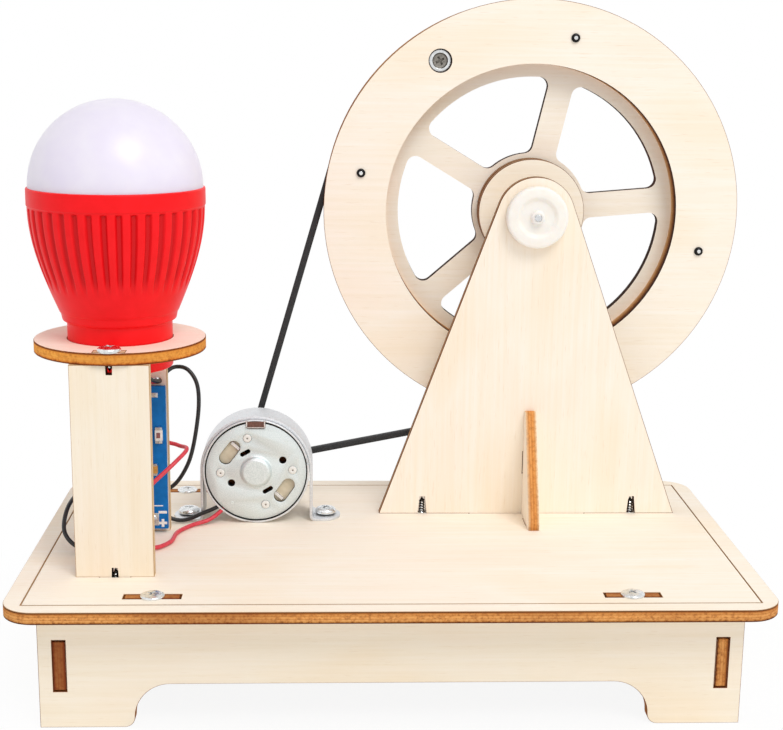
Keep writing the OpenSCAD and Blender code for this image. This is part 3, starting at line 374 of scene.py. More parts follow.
def plated_metal(name, low, high, roughness, speck_mm, relief_mm):
    """A metal surface whose colour and gloss change a little from one speck to the next."""
    material, tree, shader = new_material(name, Metallic=1.0)
    point = add(tree, "ShaderNodeTexCoord").outputs["Object"]
    speck = add(tree, "ShaderNodeTexNoise", {
        "Vector": point, "Scale": 1 / (speck_mm * MM), "Detail": 3.0, "Roughness": 0.6,
    }).outputs["Fac"]
    colour = add(tree, "ShaderNodeValToRGB", {"Fac": speck}, stops=[(0.35, low), (0.65, high)])
    gloss = add(tree, "ShaderNodeMapRange", {
        "Value": speck, "From Min": 0.3, "From Max": 0.7,
        "To Min": roughness - 0.06, "To Max": roughness + 0.06})
    tree.links.new(gloss.outputs[0], shader.inputs["Roughness"])
    finish_surface(tree, shader, colour.outputs["Color"], speck, 0.3, relief_mm)
    return material


# Zinc is bright with faint spangles. A thread's root gets a near-black grey, which is painted
# shade.
ZINC = plated_metal("zinc_plated_steel", "#cfd2d3", "#eff0f0", 0.24, 0.8, 0.01)
ROOT_SHADE = plated_metal("thread_root_painted_shade", "#2f2a26", "#4f4841", 0.50, 0.4, 0.02)
# Rolled sheet is greyer, with a fine speckle. Where it was sheared it is bare, and the near-black
# grey of those walls, and of the can's gap, is painted shade.
SATIN = plated_metal("satin_plated_sheet", "#d6d9dc", "#eaecee", 0.55, 0.35, 0.012)
CAP_SHEET = plated_metal("matt_plated_cap", "#d7e1e2", "#edf3f4", 0.60, 0.3, 0.015)
SHEARED_AND_SHADE = plated_metal("sheared_edge_and_painted_shade", "#3c3b3a", "#5a5856", 0.60, 0.3, 0.01)
# The crank screw's dish is drawn dark grey; the same grey in the rivets' dimples is painted
# shade.
DARK_GREY_DISH = plated_metal("dark_grey_dish", "#77736c", "#a19c94", 0.50, 0.45, 0.05)
# Steel that was blackened in oil, and steel that was ground bright
BLACKED = plated_metal("blackened_steel", "#1c1c1d", "#303031", 0.35, 0.3, 0.01)
GROUND = plated_metal("ground_steel_bar", "#d0d2d4", "#e6e8e9", 0.28, 0.3, 0.006)
# Solder sets with a soft skin, and bare copper is warm and clean
TIN = plated_metal("tinned_solder", "#b4b6b8", "#dcdddd", 0.30, 0.4, 0.02)
COPPER = plated_metal("bare_copper", "#b86a3c", "#d98e5c", 0.35, 0.5, 0.01)
# Pressed powders are dull and grainy, and varnish makes windings glossy and uneven
BRONZE = plated_metal("sintered_bronze", "#9c7a3c", "#c29c58", 0.55, 0.25, 0.02)
FERRITE = plated_metal("ferrite_magnet", "#2b2b2e", "#3e3e42", 0.70, 0.4, 0.02)
LAMINATE = plated_metal("varnished_windings", "#6e3d22", "#a8623a", 0.50, 0.6, 0.04)
print("made the metals, from", ZINC.name, "to", LAMINATE.name)

# %% [markdown]
# Moulded plastics differ in colour, in gloss and in how far light goes in. The lamp's housing
# is satin red ABS. The dome is milky polycarbonate and the axle caps are natural nylon, in
# which light scatters, so they get some subsurface. A moulded skin is never quite flat: a low
# noise bump breaks up its highlights.

# %% Plastics and rubber


def moulded(name, low, high, wave_mm, relief_mm, **finish):
    """A moulded plastic or rubber, with a faint change of tone and a shallow relief."""
    material, tree, shader = new_material(name, **finish)
    point = add(tree, "ShaderNodeTexCoord").outputs["Object"]
    wave = add(tree, "ShaderNodeTexNoise", {
        "Vector": point, "Scale": 1 / (wave_mm * MM), "Detail": 3.0}).outputs["Fac"]
    colour = add(tree, "ShaderNodeValToRGB", {"Fac": wave}, stops=[(0.3, low), (0.7, high)])
    finish_surface(tree, shader, colour.outputs["Color"], wave, 0.25, relief_mm)
    return material


# Light spreads inside the dome and the caps, so their shades are soft
MILKY = moulded(
    "milky_polycarbonate", "#ede4fc", "#f4edff", 9.0, 0.02, Roughness=0.32,
    Subsurface_Weight=0.35, Subsurface_Radius=(0.006, 0.006, 0.007), Subsurface_Scale=1.0,
)
NYLON = moulded(
    "natural_nylon", "#faf2e9", "#fef8f0", 2.5, 0.03, Roughness=0.42,
    Subsurface_Weight=0.4, Subsurface_Radius=(0.003, 0.0025, 0.002), Subsurface_Scale=1.0,
)
# Filled and dark plastics keep the light out. Rubber is the dullest, and PVC shines a little.
BEIGE = moulded("beige_polyamide", "#cfc3a8", "#ddd2ba", 1.5, 0.03, Roughness=0.5)
RUBBER = moulded("belt_rubber", "#1b1c1e", "#2a2b2d", 0.5, 0.05, Roughness=0.6)
RED_PVC = moulded("red_pvc_sheath", "#d22f40", "#e04454", 1.2, 0.03, Roughness=0.38)
BLACK_PVC = moulded("black_pvc_sheath", "#161617", "#222224", 1.2, 0.03, Roughness=0.35)
# The board's mask and ink are thin coats, and its parts are pressed or fired bodies
SOLDER_MASK = moulded(
    "blue_solder_mask", "#006ab6", "#0877c8", 1.6, 0.02, Roughness=0.4, Specular_IOR_Level=0.2)
MARKING = moulded("white_marking_ink", "#eeeeea", "#fafaf8", 0.6, 0.01, Roughness=0.6)
CERAMIC = moulded("white_ceramic_body", "#e9e9e4", "#f5f5f1", 0.8, 0.02, Roughness=0.5)
# Black epoxy also lines the brush holder's pockets, where it is painted shade.
EPOXY_AND_SHADE = moulded("black_epoxy_and_painted_shade", "#1d1d20", "#2c2c30", 0.7, 0.03, Roughness=0.55)
TANTALUM = moulded("ochre_moulded_body", "#b9853a", "#cf9a4a", 0.7, 0.02, Roughness=0.5)
BROWN = moulded("brown_phenolic", "#5c3a2e", "#7a5244", 0.6, 0.03, Roughness=0.5)
PINK_INK = moulded("faded_red_ink", "#7c4646", "#a06a68", 0.5, 0.01, Roughness=0.6)
# Foam tape is all small open cells, so it is the roughest
FOAM = moulded("white_foam_tape", "#dfded6", "#f2f1ea", 0.4, 0.15, Roughness=0.9)
print("made the plastics, from", MILKY.name, "to", FOAM.name)

# %% [markdown]
# The lamp's housing is moulded red ABS. It needs its own material, because its flutes get a
# deeper red, which is painted shade: the darkening that light gives a groove as it is reflected
# from red to red. An attribute named flute says how deep in a groove a point lies.

# %% Red ABS


def red_abs():
    """Satin ABS with a strong pigment, so that little but red comes back."""
    material, tree, shader = new_material("red_abs", Roughness=0.42, Specular_IOR_Level=0.25)
    flute = add(tree, "ShaderNodeAttribute", attribute_name="flute").outputs["Fac"]
    point = add(tree, "ShaderNodeTexCoord").outputs["Object"]
    # Flow marks of the moulding, about 3 mm apart
    flow = add(tree, "ShaderNodeTexNoise", {
        "Vector": point, "Scale": 1 / 0.003, "Detail": 3.0}).outputs["Fac"]
    skin = add(tree, "ShaderNodeValToRGB", {"Fac": flow}, stops=[
        (0.3, "#f6040e"), (0.7, "#fd0a16")]).outputs["Color"]
    # The flutes' deeper red is painted shade.
    colour = add(tree, "ShaderNodeMix", {0: flute, 6: skin, 7: "#d2000a"}, data_type="RGBA")
    finish_surface(tree, shader, colour.outputs[2], flow, strength=0.25, relief_mm=0.03)
    return material


RED_ABS = red_abs()
print("made", RED_ABS.name)

# %% [markdown]
# The handle is a turned beech barrel. Beech shows fine darker dashes along the grain, and the
# grain runs along the handle, which lies along Y, so the streaks are longest there.

# %% Turned beech


def turned_beech():
    """Sanded beech: warm, matt, with short dark flecks along the grain."""
    material, tree, shader = new_material("turned_beech", Roughness=0.55)
    point = add(tree, "ShaderNodeTexCoord").outputs["Object"]
    # Year rings show as bands 1.2 mm wide, and the flecks are 2.5 mm long
    grain = streaks(tree, point, (1.2, 20, 1.2), 4.0, Roughness=0.6)
    fleck = streaks(tree, point, (0.3, 2.5, 0.3), 1.0)
    wood = add(tree, "ShaderNodeValToRGB", {"Fac": grain}, stops=[
        (0.3, "#cf9c64"), (0.5, "#e0b57e"), (0.7, "#ebc795")]).outputs["Color"]
    dash = add(tree, "ShaderNodeMapRange", {
        "Value": fleck, "From Min": 0.62, "From Max": 0.72, "To Max": 0.6}).outputs[0]
    colour = add(tree, "ShaderNodeMix", {0: dash, 6: wood, 7: "#a06c3a"},
                 data_type="RGBA").outputs[2]
    finish_surface(tree, shader, colour, grain, strength=0.3, relief_mm=0.05)
    return material


BEECH = turned_beech()
print("made", BEECH.name)

# %% [markdown]
# A finished mesh becomes a piece of the object: it gets a name, its materials and the body
# that it moves with, which is that of the CAD node it stands for, and that node is hidden.
# Smooth shading with creases above 30 degrees keeps round walls round and edges crisp. A CAD
# node's mesh is loose triangles, so a copy of it is merged into flat faces before its edges
# are softened.

# %% Helpers for pieces
CREASE = math.radians(30)


def new_mesh(bm):
    """Turns a bmesh into a mesh, and frees it."""
    mesh = bpy.data.meshes.new("mesh")
    bm.to_mesh(mesh)
    bm.free()
    return mesh


def piece(name, mesh, slot, stands_for, *materials):
    """Makes a mesh a piece that stands for a CAD node and rides on the same body."""
    mesh.name = name
    obj = new_object(name, mesh)
    for material in materials:
        mesh.materials.append(material)
    mesh.shade_smooth()
    mesh.set_sharp_from_angle(angle=CREASE)
    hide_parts(stands_for)
    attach(obj, nodes[stands_for]["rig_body"])
    print(name, "has", len(mesh.polygons), "faces")
    return obj


def merged(name):
    """A CAD node's mesh as a bmesh, with its loose triangles joined into flat faces."""
    bm = bmesh.new()
    bm.from_mesh(nodes[name].data)
    bmesh.ops.remove_doubles(bm, verts=bm.verts, dist=0.005 * MM)
    bmesh.ops.dissolve_limit(bm, angle_limit=math.radians(0.5), verts=bm.verts, edges=bm.edges)
    return bm


def bevel_edges(bm, edges, width, segments=2, unit=MM):
    """Rounds edges by a width in millimetres. The unit is 1 where the mesh is in millimetres."""
    return bmesh.ops.bevel(
        bm, geom=edges, offset=width * unit, segments=segments, profile=0.5,
        affect="EDGES", clamp_overlap=False,
    )


def creased(bm):
    """The edges that turn more sharply than a smooth surface does."""
    return [e for e in bm.edges if len(e.link_faces) == 2 and e.calc_face_angle() > CREASE]


print("edges sharper than", round(math.degrees(CREASE)), "degrees stay crisp")

# %% [markdown]
# Fifteen boards are cut from the sheets. A table says for each which way it is thin, which way
# its grain runs and how dark it is. Boards that are cut or handled in another way get another
# burnt edge, and three boards have narrow slits with screws in them.

# %% Boards
# Board: the axis it is thin along, the axis of its grain, and its tone, which is partly the
# sheet's colour and partly painted shade
BOARDS = {
    "base_plate": ("ZX", 0.0),
    "front_skirt": ("YX", 0.35), "rear_skirt": ("YX", 0.35),
    "left_side_panel": ("XY", 0.9), "right_side_panel": ("XY", 0.05),
    "post_front_board": ("YZ", 0.35), "post_rear_board": ("YZ", 0.2),
    "lamp_platform": ("ZX", 0.1),
    "axle_support": ("YZ", 0.0), "support_brace": ("XZ", 0.1),
    "wheel_front_ring": ("YX", 0.0), "wheel_core_ring": ("YZ", 0.1),
    "wheel_spoked_disc": ("YX", 0.05),
    "hub_front_disc": ("YX", 0.1), "hub_middle_disc": ("YZ", 0.2),
}
EDGES = {
    "axle_support": SMOKED, "hub_front_disc": SMOKED, "hub_middle_disc": SMOKED,
    "post_front_board": PALE, "post_rear_board": PALE,
    "lamp_platform": ORANGE, "support_brace": TOASTED,
}
SUPPORT_SCREW_X = 29.35
# Where the slits' middle lines are, in metres
SLITS = {
    "post_front_board": [LAMP.x],
    "post_rear_board": [LAMP.x],
    "axle_support": [AXLE.x - SUPPORT_SCREW_X * MM, AXLE.x + SUPPORT_SCREW_X * MM],
}
print(len(BOARDS), "boards,", sum(map(len, SLITS.values())), "slits")

# %% [markdown]
# Three small changes make the boards' holes look as the real ones do. The laser's beam is
# narrower where a slit ends, and the screws have pressed the support's slits open at their
# mouth. A slot is longer than the tab in it, so a dark gap shows at both of its ends. The hole
# for the leads is drawn only as wide as the two leads need side by side.

# %% Slits, slots and the lead hole
SLIT_REACH = 1.0
SLIT_END = 0.8
SLIT_MOUTH = 1.3
SLIT_MOUTH_H = 4.5
SLOT_GAP = 0.4
SLOT_REACH = 1.8
PLATE_SLOT_X = 57
PLATE_SLOT_Y = 41.4
PLATE_SLOT_SPAN = (45, 70)
SKIRT_SLOT_X = 79.1
LEAD_HOLE = (6.8, 41.2)
LEAD_HOLE_R = 1.8
LEAD_HOLE_SQUEEZE = (0.82, 0.5)


def taper_slits(bm, name):
    """Narrows a board's screw slits, and widens the support's at their mouth."""
    low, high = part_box(name)
    for vert in bm.verts:
        for x in SLITS.get(name, []):
            inner = min(vert.co.z - low.z, high.z - vert.co.z)
            if abs(vert.co.x - x) < SLIT_REACH * MM and inner > 2 * MM:
                at_mouth = name == "axle_support" and vert.co.z <= PLATE.z + SLIT_MOUTH_H * MM
                vert.co.x = x + (vert.co.x - x) * (SLIT_MOUTH if at_mouth else SLIT_END)


def lengthen_slots(bm, name):
    """Draws the ends of a tab's slot a little away from the tab."""
    low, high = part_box(name)
    gap = SLOT_GAP * MM
    for vert in bm.verts:
        x = abs(vert.co.x - PLATE.x)
        y = abs(vert.co.y - PLATE.y)
        if name == "base_plate":
            in_row = abs(y - PLATE_SLOT_Y * MM) < SLOT_REACH * MM
            if in_row and PLATE_SLOT_SPAN[0] * MM < x < PLATE_SLOT_SPAN[1] * MM:
                outwards = math.copysign(1, vert.co.x - PLATE.x)
                vert.co.x += math.copysign(gap, x - PLATE_SLOT_X * MM) * outwards
        elif name.endswith("skirt"):
            in_row = abs(x - SKIRT_SLOT_X * MM) < SLOT_REACH * MM
            if in_row and low.z + 6 * MM < vert.co.z < high.z - 4 * MM:
                vert.co.z += math.copysign(gap, vert.co.z - (low.z + high.z) / 2)


def shrink_lead_hole(bm):
    """Draws the lead hole as tight as the two leads side by side allow."""
    centre = Vector((LAMP.x + LEAD_HOLE[0] * MM, PLATE.z + LEAD_HOLE[1] * MM))
    for vert in bm.verts:
        away = Vector((vert.co.x, vert.co.z)) - centre
        if away.length < LEAD_HOLE_R * MM:
            vert.co.x = centre.x + away.x * LEAD_HOLE_SQUEEZE[0]
            vert.co.z = centre.y + away.y * LEAD_HOLE_SQUEEZE[1]


print("slots grow by", SLOT_GAP, "mm at each end")

# %% [markdown]
# A laser leaves a board with a thin scorched rim on each face and a slightly softened border.
# The outline itself is right in the CAD, so its mesh is copied. The faces get an inset ring,
# which carries the scorch, the borders get a narrow bevel in the burnt colour, and each point
# is told its depth, its tone and its place on the sheet. Only the two outer faces are veneer.
# Every other face gets the burnt look of the cut that it lies in.

# %% Veneer and cuts
SCORCH_W = 0.3
BORDER_W = 0.12
ENGRAVED_DEPTH = (0.85, 0.995)
WHEEL_BORE_R = 40
WINDOW_R = (13, 38)
CRANK_HOLE_R = 4
SLIT_WALL = 1.1
# Each board's pattern starts this far along and across the sheet from the last one's
SHEET_STEP = (0.213, 0.117)
BORE_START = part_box("wheel_front_ring")[0].y
BORE_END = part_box("wheel_core_ring")[1].y


def from_centre(point, centre):
    """Distance from an axis that runs front to back, in millimetres."""
    return math.hypot(point.x - centre.x, point.z - centre.z) / MM


def finish_board(name, through, along, tone_and_shade, number):
    """Gives a board its veneer faces and burnt edges."""
    low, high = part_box(name)
    thickness = high[through] - low[through]
    across = 3 - through - along
    ring = name in ("wheel_front_ring", "wheel_core_ring")
    edge = EDGES.get(name, BURNT)
    bm = merged(name)
    taper_slits(bm, name)
    lengthen_slots(bm, name)
    if name == "post_rear_board":
        shrink_lead_hole(bm)

    def in_bore(point):
        return ring and abs(from_centre(point, AXLE) - WHEEL_BORE_R) < 1

    def depth_of(point):
        if in_bore(point):
            return (point.y - BORE_START) / (BORE_END - BORE_START)
        return (point[through] - low[through]) / thickness

    def is_face(face):
        depth = (face.calc_center_median()[through] - low[through]) / thickness
        return abs(face.normal[through]) > 0.99 and (depth < 0.01 or depth > 0.99)

    def cut_of(face):
        point = face.calc_center_median()
        if is_face(face):
            return VENEER
        if in_bore(point):
            return BORE
        if name == "base_plate" and ENGRAVED_DEPTH[0] < depth_of(point) < ENGRAVED_DEPTH[1]:
            return ENGRAVED
        slit = any(abs(point.x - x) < SLIT_WALL * MM for x in SLITS.get(name, []))
        window = (name == "wheel_spoked_disc"
                  and WINDOW_R[0] < from_centre(point, AXLE) < WINDOW_R[1])
        crank_hole = ring and from_centre(point, CRANK) < CRANK_HOLE_R
        # These near-black walls are partly laser char and partly painted shade.
        return CHARRED_AND_SHADE if slit or window or crank_hole else edge

    bmesh.ops.inset_region(bm, faces=[f for f in bm.faces if is_face(f)],
                           thickness=SCORCH_W * MM, use_even_offset=True)
    borders = [
        e for e in creased(bm)
        if any(is_face(f) for f in e.link_faces) and any(cut_of(f) is edge for f in e.link_faces)
    ]
    bevel_edges(bm, borders, BORDER_W, 1)
    cuts = [VENEER, edge]
    for face in bm.faces:
        look = cut_of(face)
        if look not in cuts:
            cuts.append(look)
        face.material_index = cuts.index(look)
    depth = bm.verts.layers.float.new("depth")
    scorch = bm.verts.layers.float.new("scorch")
    tone = bm.verts.layers.float.new("tone")
    sheet = bm.verts.layers.float_vector.new("sheet")
    for vert in bm.verts:
        vert[depth] = depth_of(vert.co)
        vert[scorch] = float({0, 1} <= {face.material_index for face in vert.link_faces})
        # The tone is partly the sheet's colour and partly painted shade.
        vert[tone] = tone_and_shade
        vert[sheet] = (
            vert.co[along] + SHEET_STEP[0] * number,
            vert.co[across] + SHEET_STEP[1] * number,
            vert.co[through],
        )
    piece(name + "_board", new_mesh(bm), "plywood", name, *cuts)


for number, (board, (axes, tone_and_shade)) in enumerate(BOARDS.items()):
    finish_board(board, "XYZ".index(axes[0]), "XYZ".index(axes[1]), tone_and_shade, number)

# %% [markdown]
# Most of the other pieces are round, so they are turned: a profile of radius and height is
# spun about its axis. A third number at a profile's point rounds that corner, as a moulded or
# rolled edge is. The normals are recalculated afterwards, because a spin can turn a shape
# inside out.

# %% Lathe
CORNER_STEPS = 4


def rounded(profile, closed):
    """The profile with an arc at each corner that has a radius."""
    points = []
    for i, (r, h, *fillet) in enumerate(profile):
        corner = Vector((r, h))
        if not fillet or not (closed or 0 < i < len(profile) - 1):
            points.append(corner)
            continue
        before = (Vector(profile[i - 1][:2]) - corner).normalized()
        after = (Vector(profile[(i + 1) % len(profile)][:2]) - corner).normalized()
        half = before.angle(after) / 2
        centre = corner + (before + after).normalized() * fillet[0] / math.sin(half)
        start = corner + before * fillet[0] / math.tan(half) - centre
        end = corner + after * fillet[0] / math.tan(half) - centre
        sweep = start.angle_signed(end)
        for k in range(CORNER_STEPS + 1):
            turn = Matrix.Rotation(-sweep * k / CORNER_STEPS, 2)
            points.append(centre + turn @ start)
    return points


def lathe(profile, to=Matrix(), steps=96, closed=False):
    """Spins a profile of (radius, height) points and puts it in place with a matrix.

    A closed profile joins its last point to its first, as that of a ring or a tube does.
    """
    bm = bmesh.new()
    rings = []
    for r, h in rounded(profile, closed):
        turns = [2 * math.pi * k / steps for k in range(steps)] if r > 1e-6 else [0.0]
        rings.append([bm.verts.new((r * math.cos(a), r * math.sin(a), h)) for a in turns])
    pairs = list(zip(rings, rings[1:]))
    if closed:
        pairs.append((rings[-1], rings[0]))
    for a, b in pairs:
        for k in range(steps):
            corners = (a[k % len(a)], a[(k + 1) % len(a)], b[(k + 1) % len(b)], b[k % len(b)])
            corners = list(dict.fromkeys(corners))
            if len(corners) > 2:
                bm.faces.new(corners)
    bmesh.ops.recalc_face_normals(bm, faces=bm.faces)
    mesh = new_mesh(bm)
    mesh.transform(to)
    return mesh


print("a rounded corner gets", CORNER_STEPS + 1, "points")

# %% [markdown]
# The axle is a ground bar. Nylon caps are pushed on both of its ends: each is a disc with a
# round recess and a boss that grips the bar. A nylon tube keeps the wheel off the support,
# and the motor's pulley has two flanges that hold the belt.

# %% Axle, caps, spacer and pulley
AXLE_R = 1.0
BORE_R = 1.02


def turned(name, node, profile, facing, material, slot, closed=True):
    """Turns a piece whose height 0 is at the near end of its CAD node's box, along its axis."""
    low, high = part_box(node)
    start = middle(node)
    start.y = high.y if facing == "front" else low.y
    return piece(name, lathe(profile, place(start, facing), closed=closed), slot, node, material)


CAP = [
    (BORE_R, 0), (8.25, 0, 0.3), (8.25, 3, 0.8), (5.4, 3, 0.8), (4.5, 2.2, 0.8),
    (1.75, 2.2, 0.5), (1.7, 3.6, 0.35), (BORE_R, 3.6),
]
SPACER = [(BORE_R, 0), (2.5, 0, 0.2), (2.5, 6.7, 0.2), (BORE_R, 6.7)]
PULLEY = [
    (BORE_R, 0), (4.6, 0, 0.2), (4.6, 0.6, 0.2), (1.9, 0.9, 0.3), (1.9, 3.5, 0.3),
    (4.6, 3.8, 0.2), (4.6, 4.4, 0.2), (BORE_R, 4.4),
]
axle_l = (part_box("axle")[1].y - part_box("axle")[0].y) / MM
AXLE_BAR = [(0, 0), (AXLE_R, 0, 0.25), (AXLE_R, axle_l, 0.25), (0, axle_l)]
turned("axle_bar", "axle", AXLE_BAR, "back", GROUND, "axle_steel", closed=False)
turned("front_cap", "axle_front_cap", CAP, "front", NYLON, "nylon")
turned("rear_cap", "axle_rear_cap", CAP, "back", NYLON, "nylon")
turned("spacer_tube", "axle_spacer", SPACER, "back", NYLON, "nylon")
turned("pulley", "motor_pulley", PULLEY, "back", NYLON, "nylon")

# %% [markdown]
# The handle is a barrel that turns freely on the long crank screw. Its sides swell a little
# towards the middle, so a sine gives the curve, and both ends are rounded.

# %% Handle
HANDLE_L = 24.0
HANDLE_R = 5.5
HANDLE_END_R = HANDLE_R * 0.86
HANDLE_BORE_R = 1.55
HANDLE_STEPS = 16


def handle_profile():
    """A tube whose outside swells by an eighth towards the middle."""
    sides = []
    for k in range(1, HANDLE_STEPS):
        swell = 0.88 + 0.12 * math.sin(math.pi * k / HANDLE_STEPS)
        sides.append((HANDLE_R * swell, HANDLE_L * k / HANDLE_STEPS))
    return [
        (HANDLE_BORE_R, 0), (HANDLE_END_R, 0, 1.0), *sides,
        (HANDLE_END_R, HANDLE_L, 1.4), (HANDLE_BORE_R, HANDLE_L),
    ]


turned("handle_barrel", "crank_handle", handle_profile(), "back", BEECH, "beech")

# %% [markdown]
# Screws hold it all together: pan heads with a cross recess on the plates, small ones in the
# wheel's rim, and the long crank screw. A head is turned, and the recess is cut out of it
# with a tapered cross and a Boolean modifier. The result is a plain mesh that can be copied.

# %% Screw blanks


def plain_mesh(obj):
    """The mesh that an object's modifiers make of it."""
    return bpy.data.meshes.new_from_object(
        obj.evaluated_get(bpy.context.evaluated_depsgraph_get()))


def cut(mesh, cutter, operation="DIFFERENCE"):
    """Cuts one closed mesh with another and returns the result."""
    body = new_object("body", mesh)
    tool = new_object("cutter", cutter)
    modifier = body.modifiers.new("cut", "BOOLEAN")
    modifier.operation = operation
    modifier.solver = "EXACT"
    modifier.object = tool
    result = plain_mesh(body)
    bpy.data.objects.remove(body)
    bpy.data.objects.remove(tool)
    return result


def prism(outline, z0, z1, shrink=1.0):
    """A closed solid on an outline, from z0 to z1, whose first end is scaled by shrink."""
    bm = bmesh.new()
    near = [bm.verts.new((x * shrink, y * shrink, z0)) for x, y in outline]
    far = [bm.verts.new((x, y, z1)) for x, y in outline]
    bm.faces.new(near)
    bm.faces.new(far)
    for k in range(len(outline)):
        j = (k + 1) % len(outline)
        bm.faces.new((near[k], near[j], far[j], far[k]))
    bmesh.ops.recalc_face_normals(bm, faces=bm.faces)
    return new_mesh(bm)


def cross(reach, width):
    """Outline of a cross recess: three corners of one arm, turned four times."""
    half = width / 2
    return [
        (x * math.cos(t) - y * math.sin(t), x * math.sin(t) + y * math.cos(t))
        for t in (0, math.pi / 2, math.pi, 3 * math.pi / 2)
        for x, y in ((reach, -half), (reach, half), (half, half))
    ]


def pan_profile(r, h, shank_r, length, tip, gap):
    """A pan head a gap above height 0, and a shank that ends in a tip of that length."""
    dome = [(r * math.sin(a) ** 0.7, gap + h * (0.22 + 0.78 * math.cos(a) ** 0.8))
            for a in (math.pi / 2 * k / 8 for k in range(9))]
    return [*dome, (r, gap, 0.1), (shank_r, gap), (shank_r, tip - length), (0, -length)]


def blank(profile, recess_reach, recess_w, top, depth):
    """Turns a screw and cuts its cross recess, in millimetres."""
    recess = prism(cross(recess_reach, recess_w), top - depth, top + 1, 0.6)
    return cut(lathe(profile, steps=48), recess)


print("a cross recess has", len(cross(1.6, 0.7)), "corners")

# %% [markdown]
# Geometry Nodes do what repeats or follows a line. A tree is built here with named inputs. A
# modifier knows these inputs by their identifiers, not by their names, so the function that
# runs a tree looks them up. All trees end alike: in real geometry with a material, because
# instances don't survive an export.

# %% Helpers for trees


def new_tree(name, inputs):
    """Starts a Geometry Nodes tree with named inputs, and returns it with their sockets."""
    tree = bpy.data.node_groups.new(name, "GeometryNodeTree")
    for label, kind in {"Geometry": "Geometry", **inputs}.items():
        tree.interface.new_socket(label, in_out="INPUT", socket_type="NodeSocket" + kind)
    tree.interface.new_socket("Geometry", in_out="OUTPUT", socket_type="NodeSocketGeometry")
    return tree, tree.nodes.new("NodeGroupInput").outputs


def end_tree(tree, geometry, material):
    """Makes a tree's geometry real, gives it its material and sends it out."""
    real = add(tree, "GeometryNodeRealizeInstances", {"Geometry": geometry})
    done = add(tree, "GeometryNodeSetMaterial", {
        "Geometry": real.outputs[0], "Material": material})
    add(tree, "NodeGroupOutput", {"Geometry": done.outputs[0]})
    print("built the tree", tree.name, "with", len(tree.nodes), "nodes")
    return tree


def run_tree(tree, mesh, values):
    """Runs a tree on a mesh and returns the result as a plain mesh."""
    holder = new_object("holder", mesh)
    modifier = holder.modifiers.new("tree", "NODES")
    modifier.node_group = tree
    for item in tree.interface.items_tree:
        if item.in_out == "INPUT" and item.name in values:
            modifier[item.identifier] = values[item.name]
    result = plain_mesh(holder)
    holder.modifiers.remove(modifier)
    bpy.data.objects.remove(holder)
    result.materials.clear()
    result.materials.append(values["Material"])
    return result


# %% [markdown]
# The first tree winds a thread on a screw blank: a spiral is swept with a small round
# profile, whose inner half is buried in the shank. The second tree sets copies of a mesh on
# points, each turned by its own attribute.

# %% Thread tree and placing tree


def thread_tree():
    tree, given = new_tree("wind_thread", {
        "Shank radius": "Float", "Start": "Float", "Length": "Float", "Turns": "Float",
        "Tip radius": "Float", "Ridge": "Float", "Material": "Material"})
    spiral = add(tree, "GeometryNodeCurveSpiral", {
        "Resolution": 20, "Rotations": given["Turns"], "Start Radius": given["Tip radius"],
        "End Radius": given["Shank radius"], "Height": given["Length"]})
    down = add(tree, "ShaderNodeCombineXYZ", {"Z": given["Start"]})
    lowered = add(tree, "GeometryNodeTransform", {
        "Geometry": spiral.outputs[0], "Translation": down.outputs[0]})
    profile = add(tree, "GeometryNodeCurvePrimitiveCircle", {
        "Resolution": 8, "Radius": given["Ridge"]})
    ridge = add(tree, "GeometryNodeCurveToMesh", {
        "Curve": lowered.outputs[0], "Profile Curve": profile.outputs[0], "Fill Caps": True})
    both = add(tree, "GeometryNodeJoinGeometry", {"Geometry": given["Geometry"]})
    tree.links.new(ridge.outputs[0], both.inputs["Geometry"])
    return end_tree(tree, both.outputs[0], given["Material"])


def placing_tree():
    tree, given = new_tree("place_copies", {"Copy": "Object", "Material": "Material"})
    turn = add(tree, "GeometryNodeInputNamedAttribute", {"Name": "turn"},
               data_type="FLOAT_VECTOR")
    rotation = add(tree, "FunctionNodeEulerToRotation", {0: turn.outputs["Attribute"]})
    shape = add(tree, "GeometryNodeObjectInfo", {"Object": given["Copy"]})
    copies = add(tree, "GeometryNodeInstanceOnPoints", {
        "Points": given["Geometry"], "Instance": shape.outputs["Geometry"],
        "Rotation": rotation.outputs[0]})
    return end_tree(tree, copies.outputs[0], given["Material"])


THREAD = thread_tree()
PLACE = placing_tree()


def wind(mesh, shank_r, length, tip, pitch, ridge, material):
    """Winds a thread on a blank, from above its tip of that length to just under its head."""
    start = tip * 0.6 - length + ridge
    return run_tree(THREAD, mesh, {
        "Shank radius": shank_r, "Tip radius": shank_r * (0.8 if tip else 1.0),
        "Start": start, "Length": -start - pitch / 2, "Turns": -start / pitch,
        "Ridge": ridge, "Material": material})


def place_copies(mesh, spots, material):
    """Copies a mesh, drawn in millimetres, to each spot: a point in metres and a rotation."""
    mesh.transform(Matrix.Scale(MM, 4))
    shape = new_object("copy", mesh)
    points = bpy.data.meshes.new("points")
    points.from_pydata([spot for spot, _ in spots], [], [])
    turn = points.attributes.new("turn", "FLOAT_VECTOR", "POINT")
    turn.data.foreach_set("vector", [a for _, m in spots for a in m.to_euler()])
    result = run_tree(PLACE, points, {"Copy": shape, "Material": material})
    bpy.data.objects.remove(shape)
    return result


# %% [markdown]
# Each CAD node of screws holds several separate solids. Their boxes say where the heads are
# and how long the screws are, so the finished screws land on the same spots. No two cross
# recesses point the same way, as on anything screwed together by hand. The shank between the
# turns of the thread gets a near-black grey as painted shade, so the thread shows where a slit
# lets one look in. The base screws' heads are drawn flatter than in the CAD, as they are worn
# in. The bracket's screws aren't driven home: their heads stand half a millimetre above the
# foot, over a gap whose shank and head underside are painted near black as shade.

# %% Screws
# A pan head's radius and height, and its shank's radius
PAN = (2.9, 1.4, 0.9)
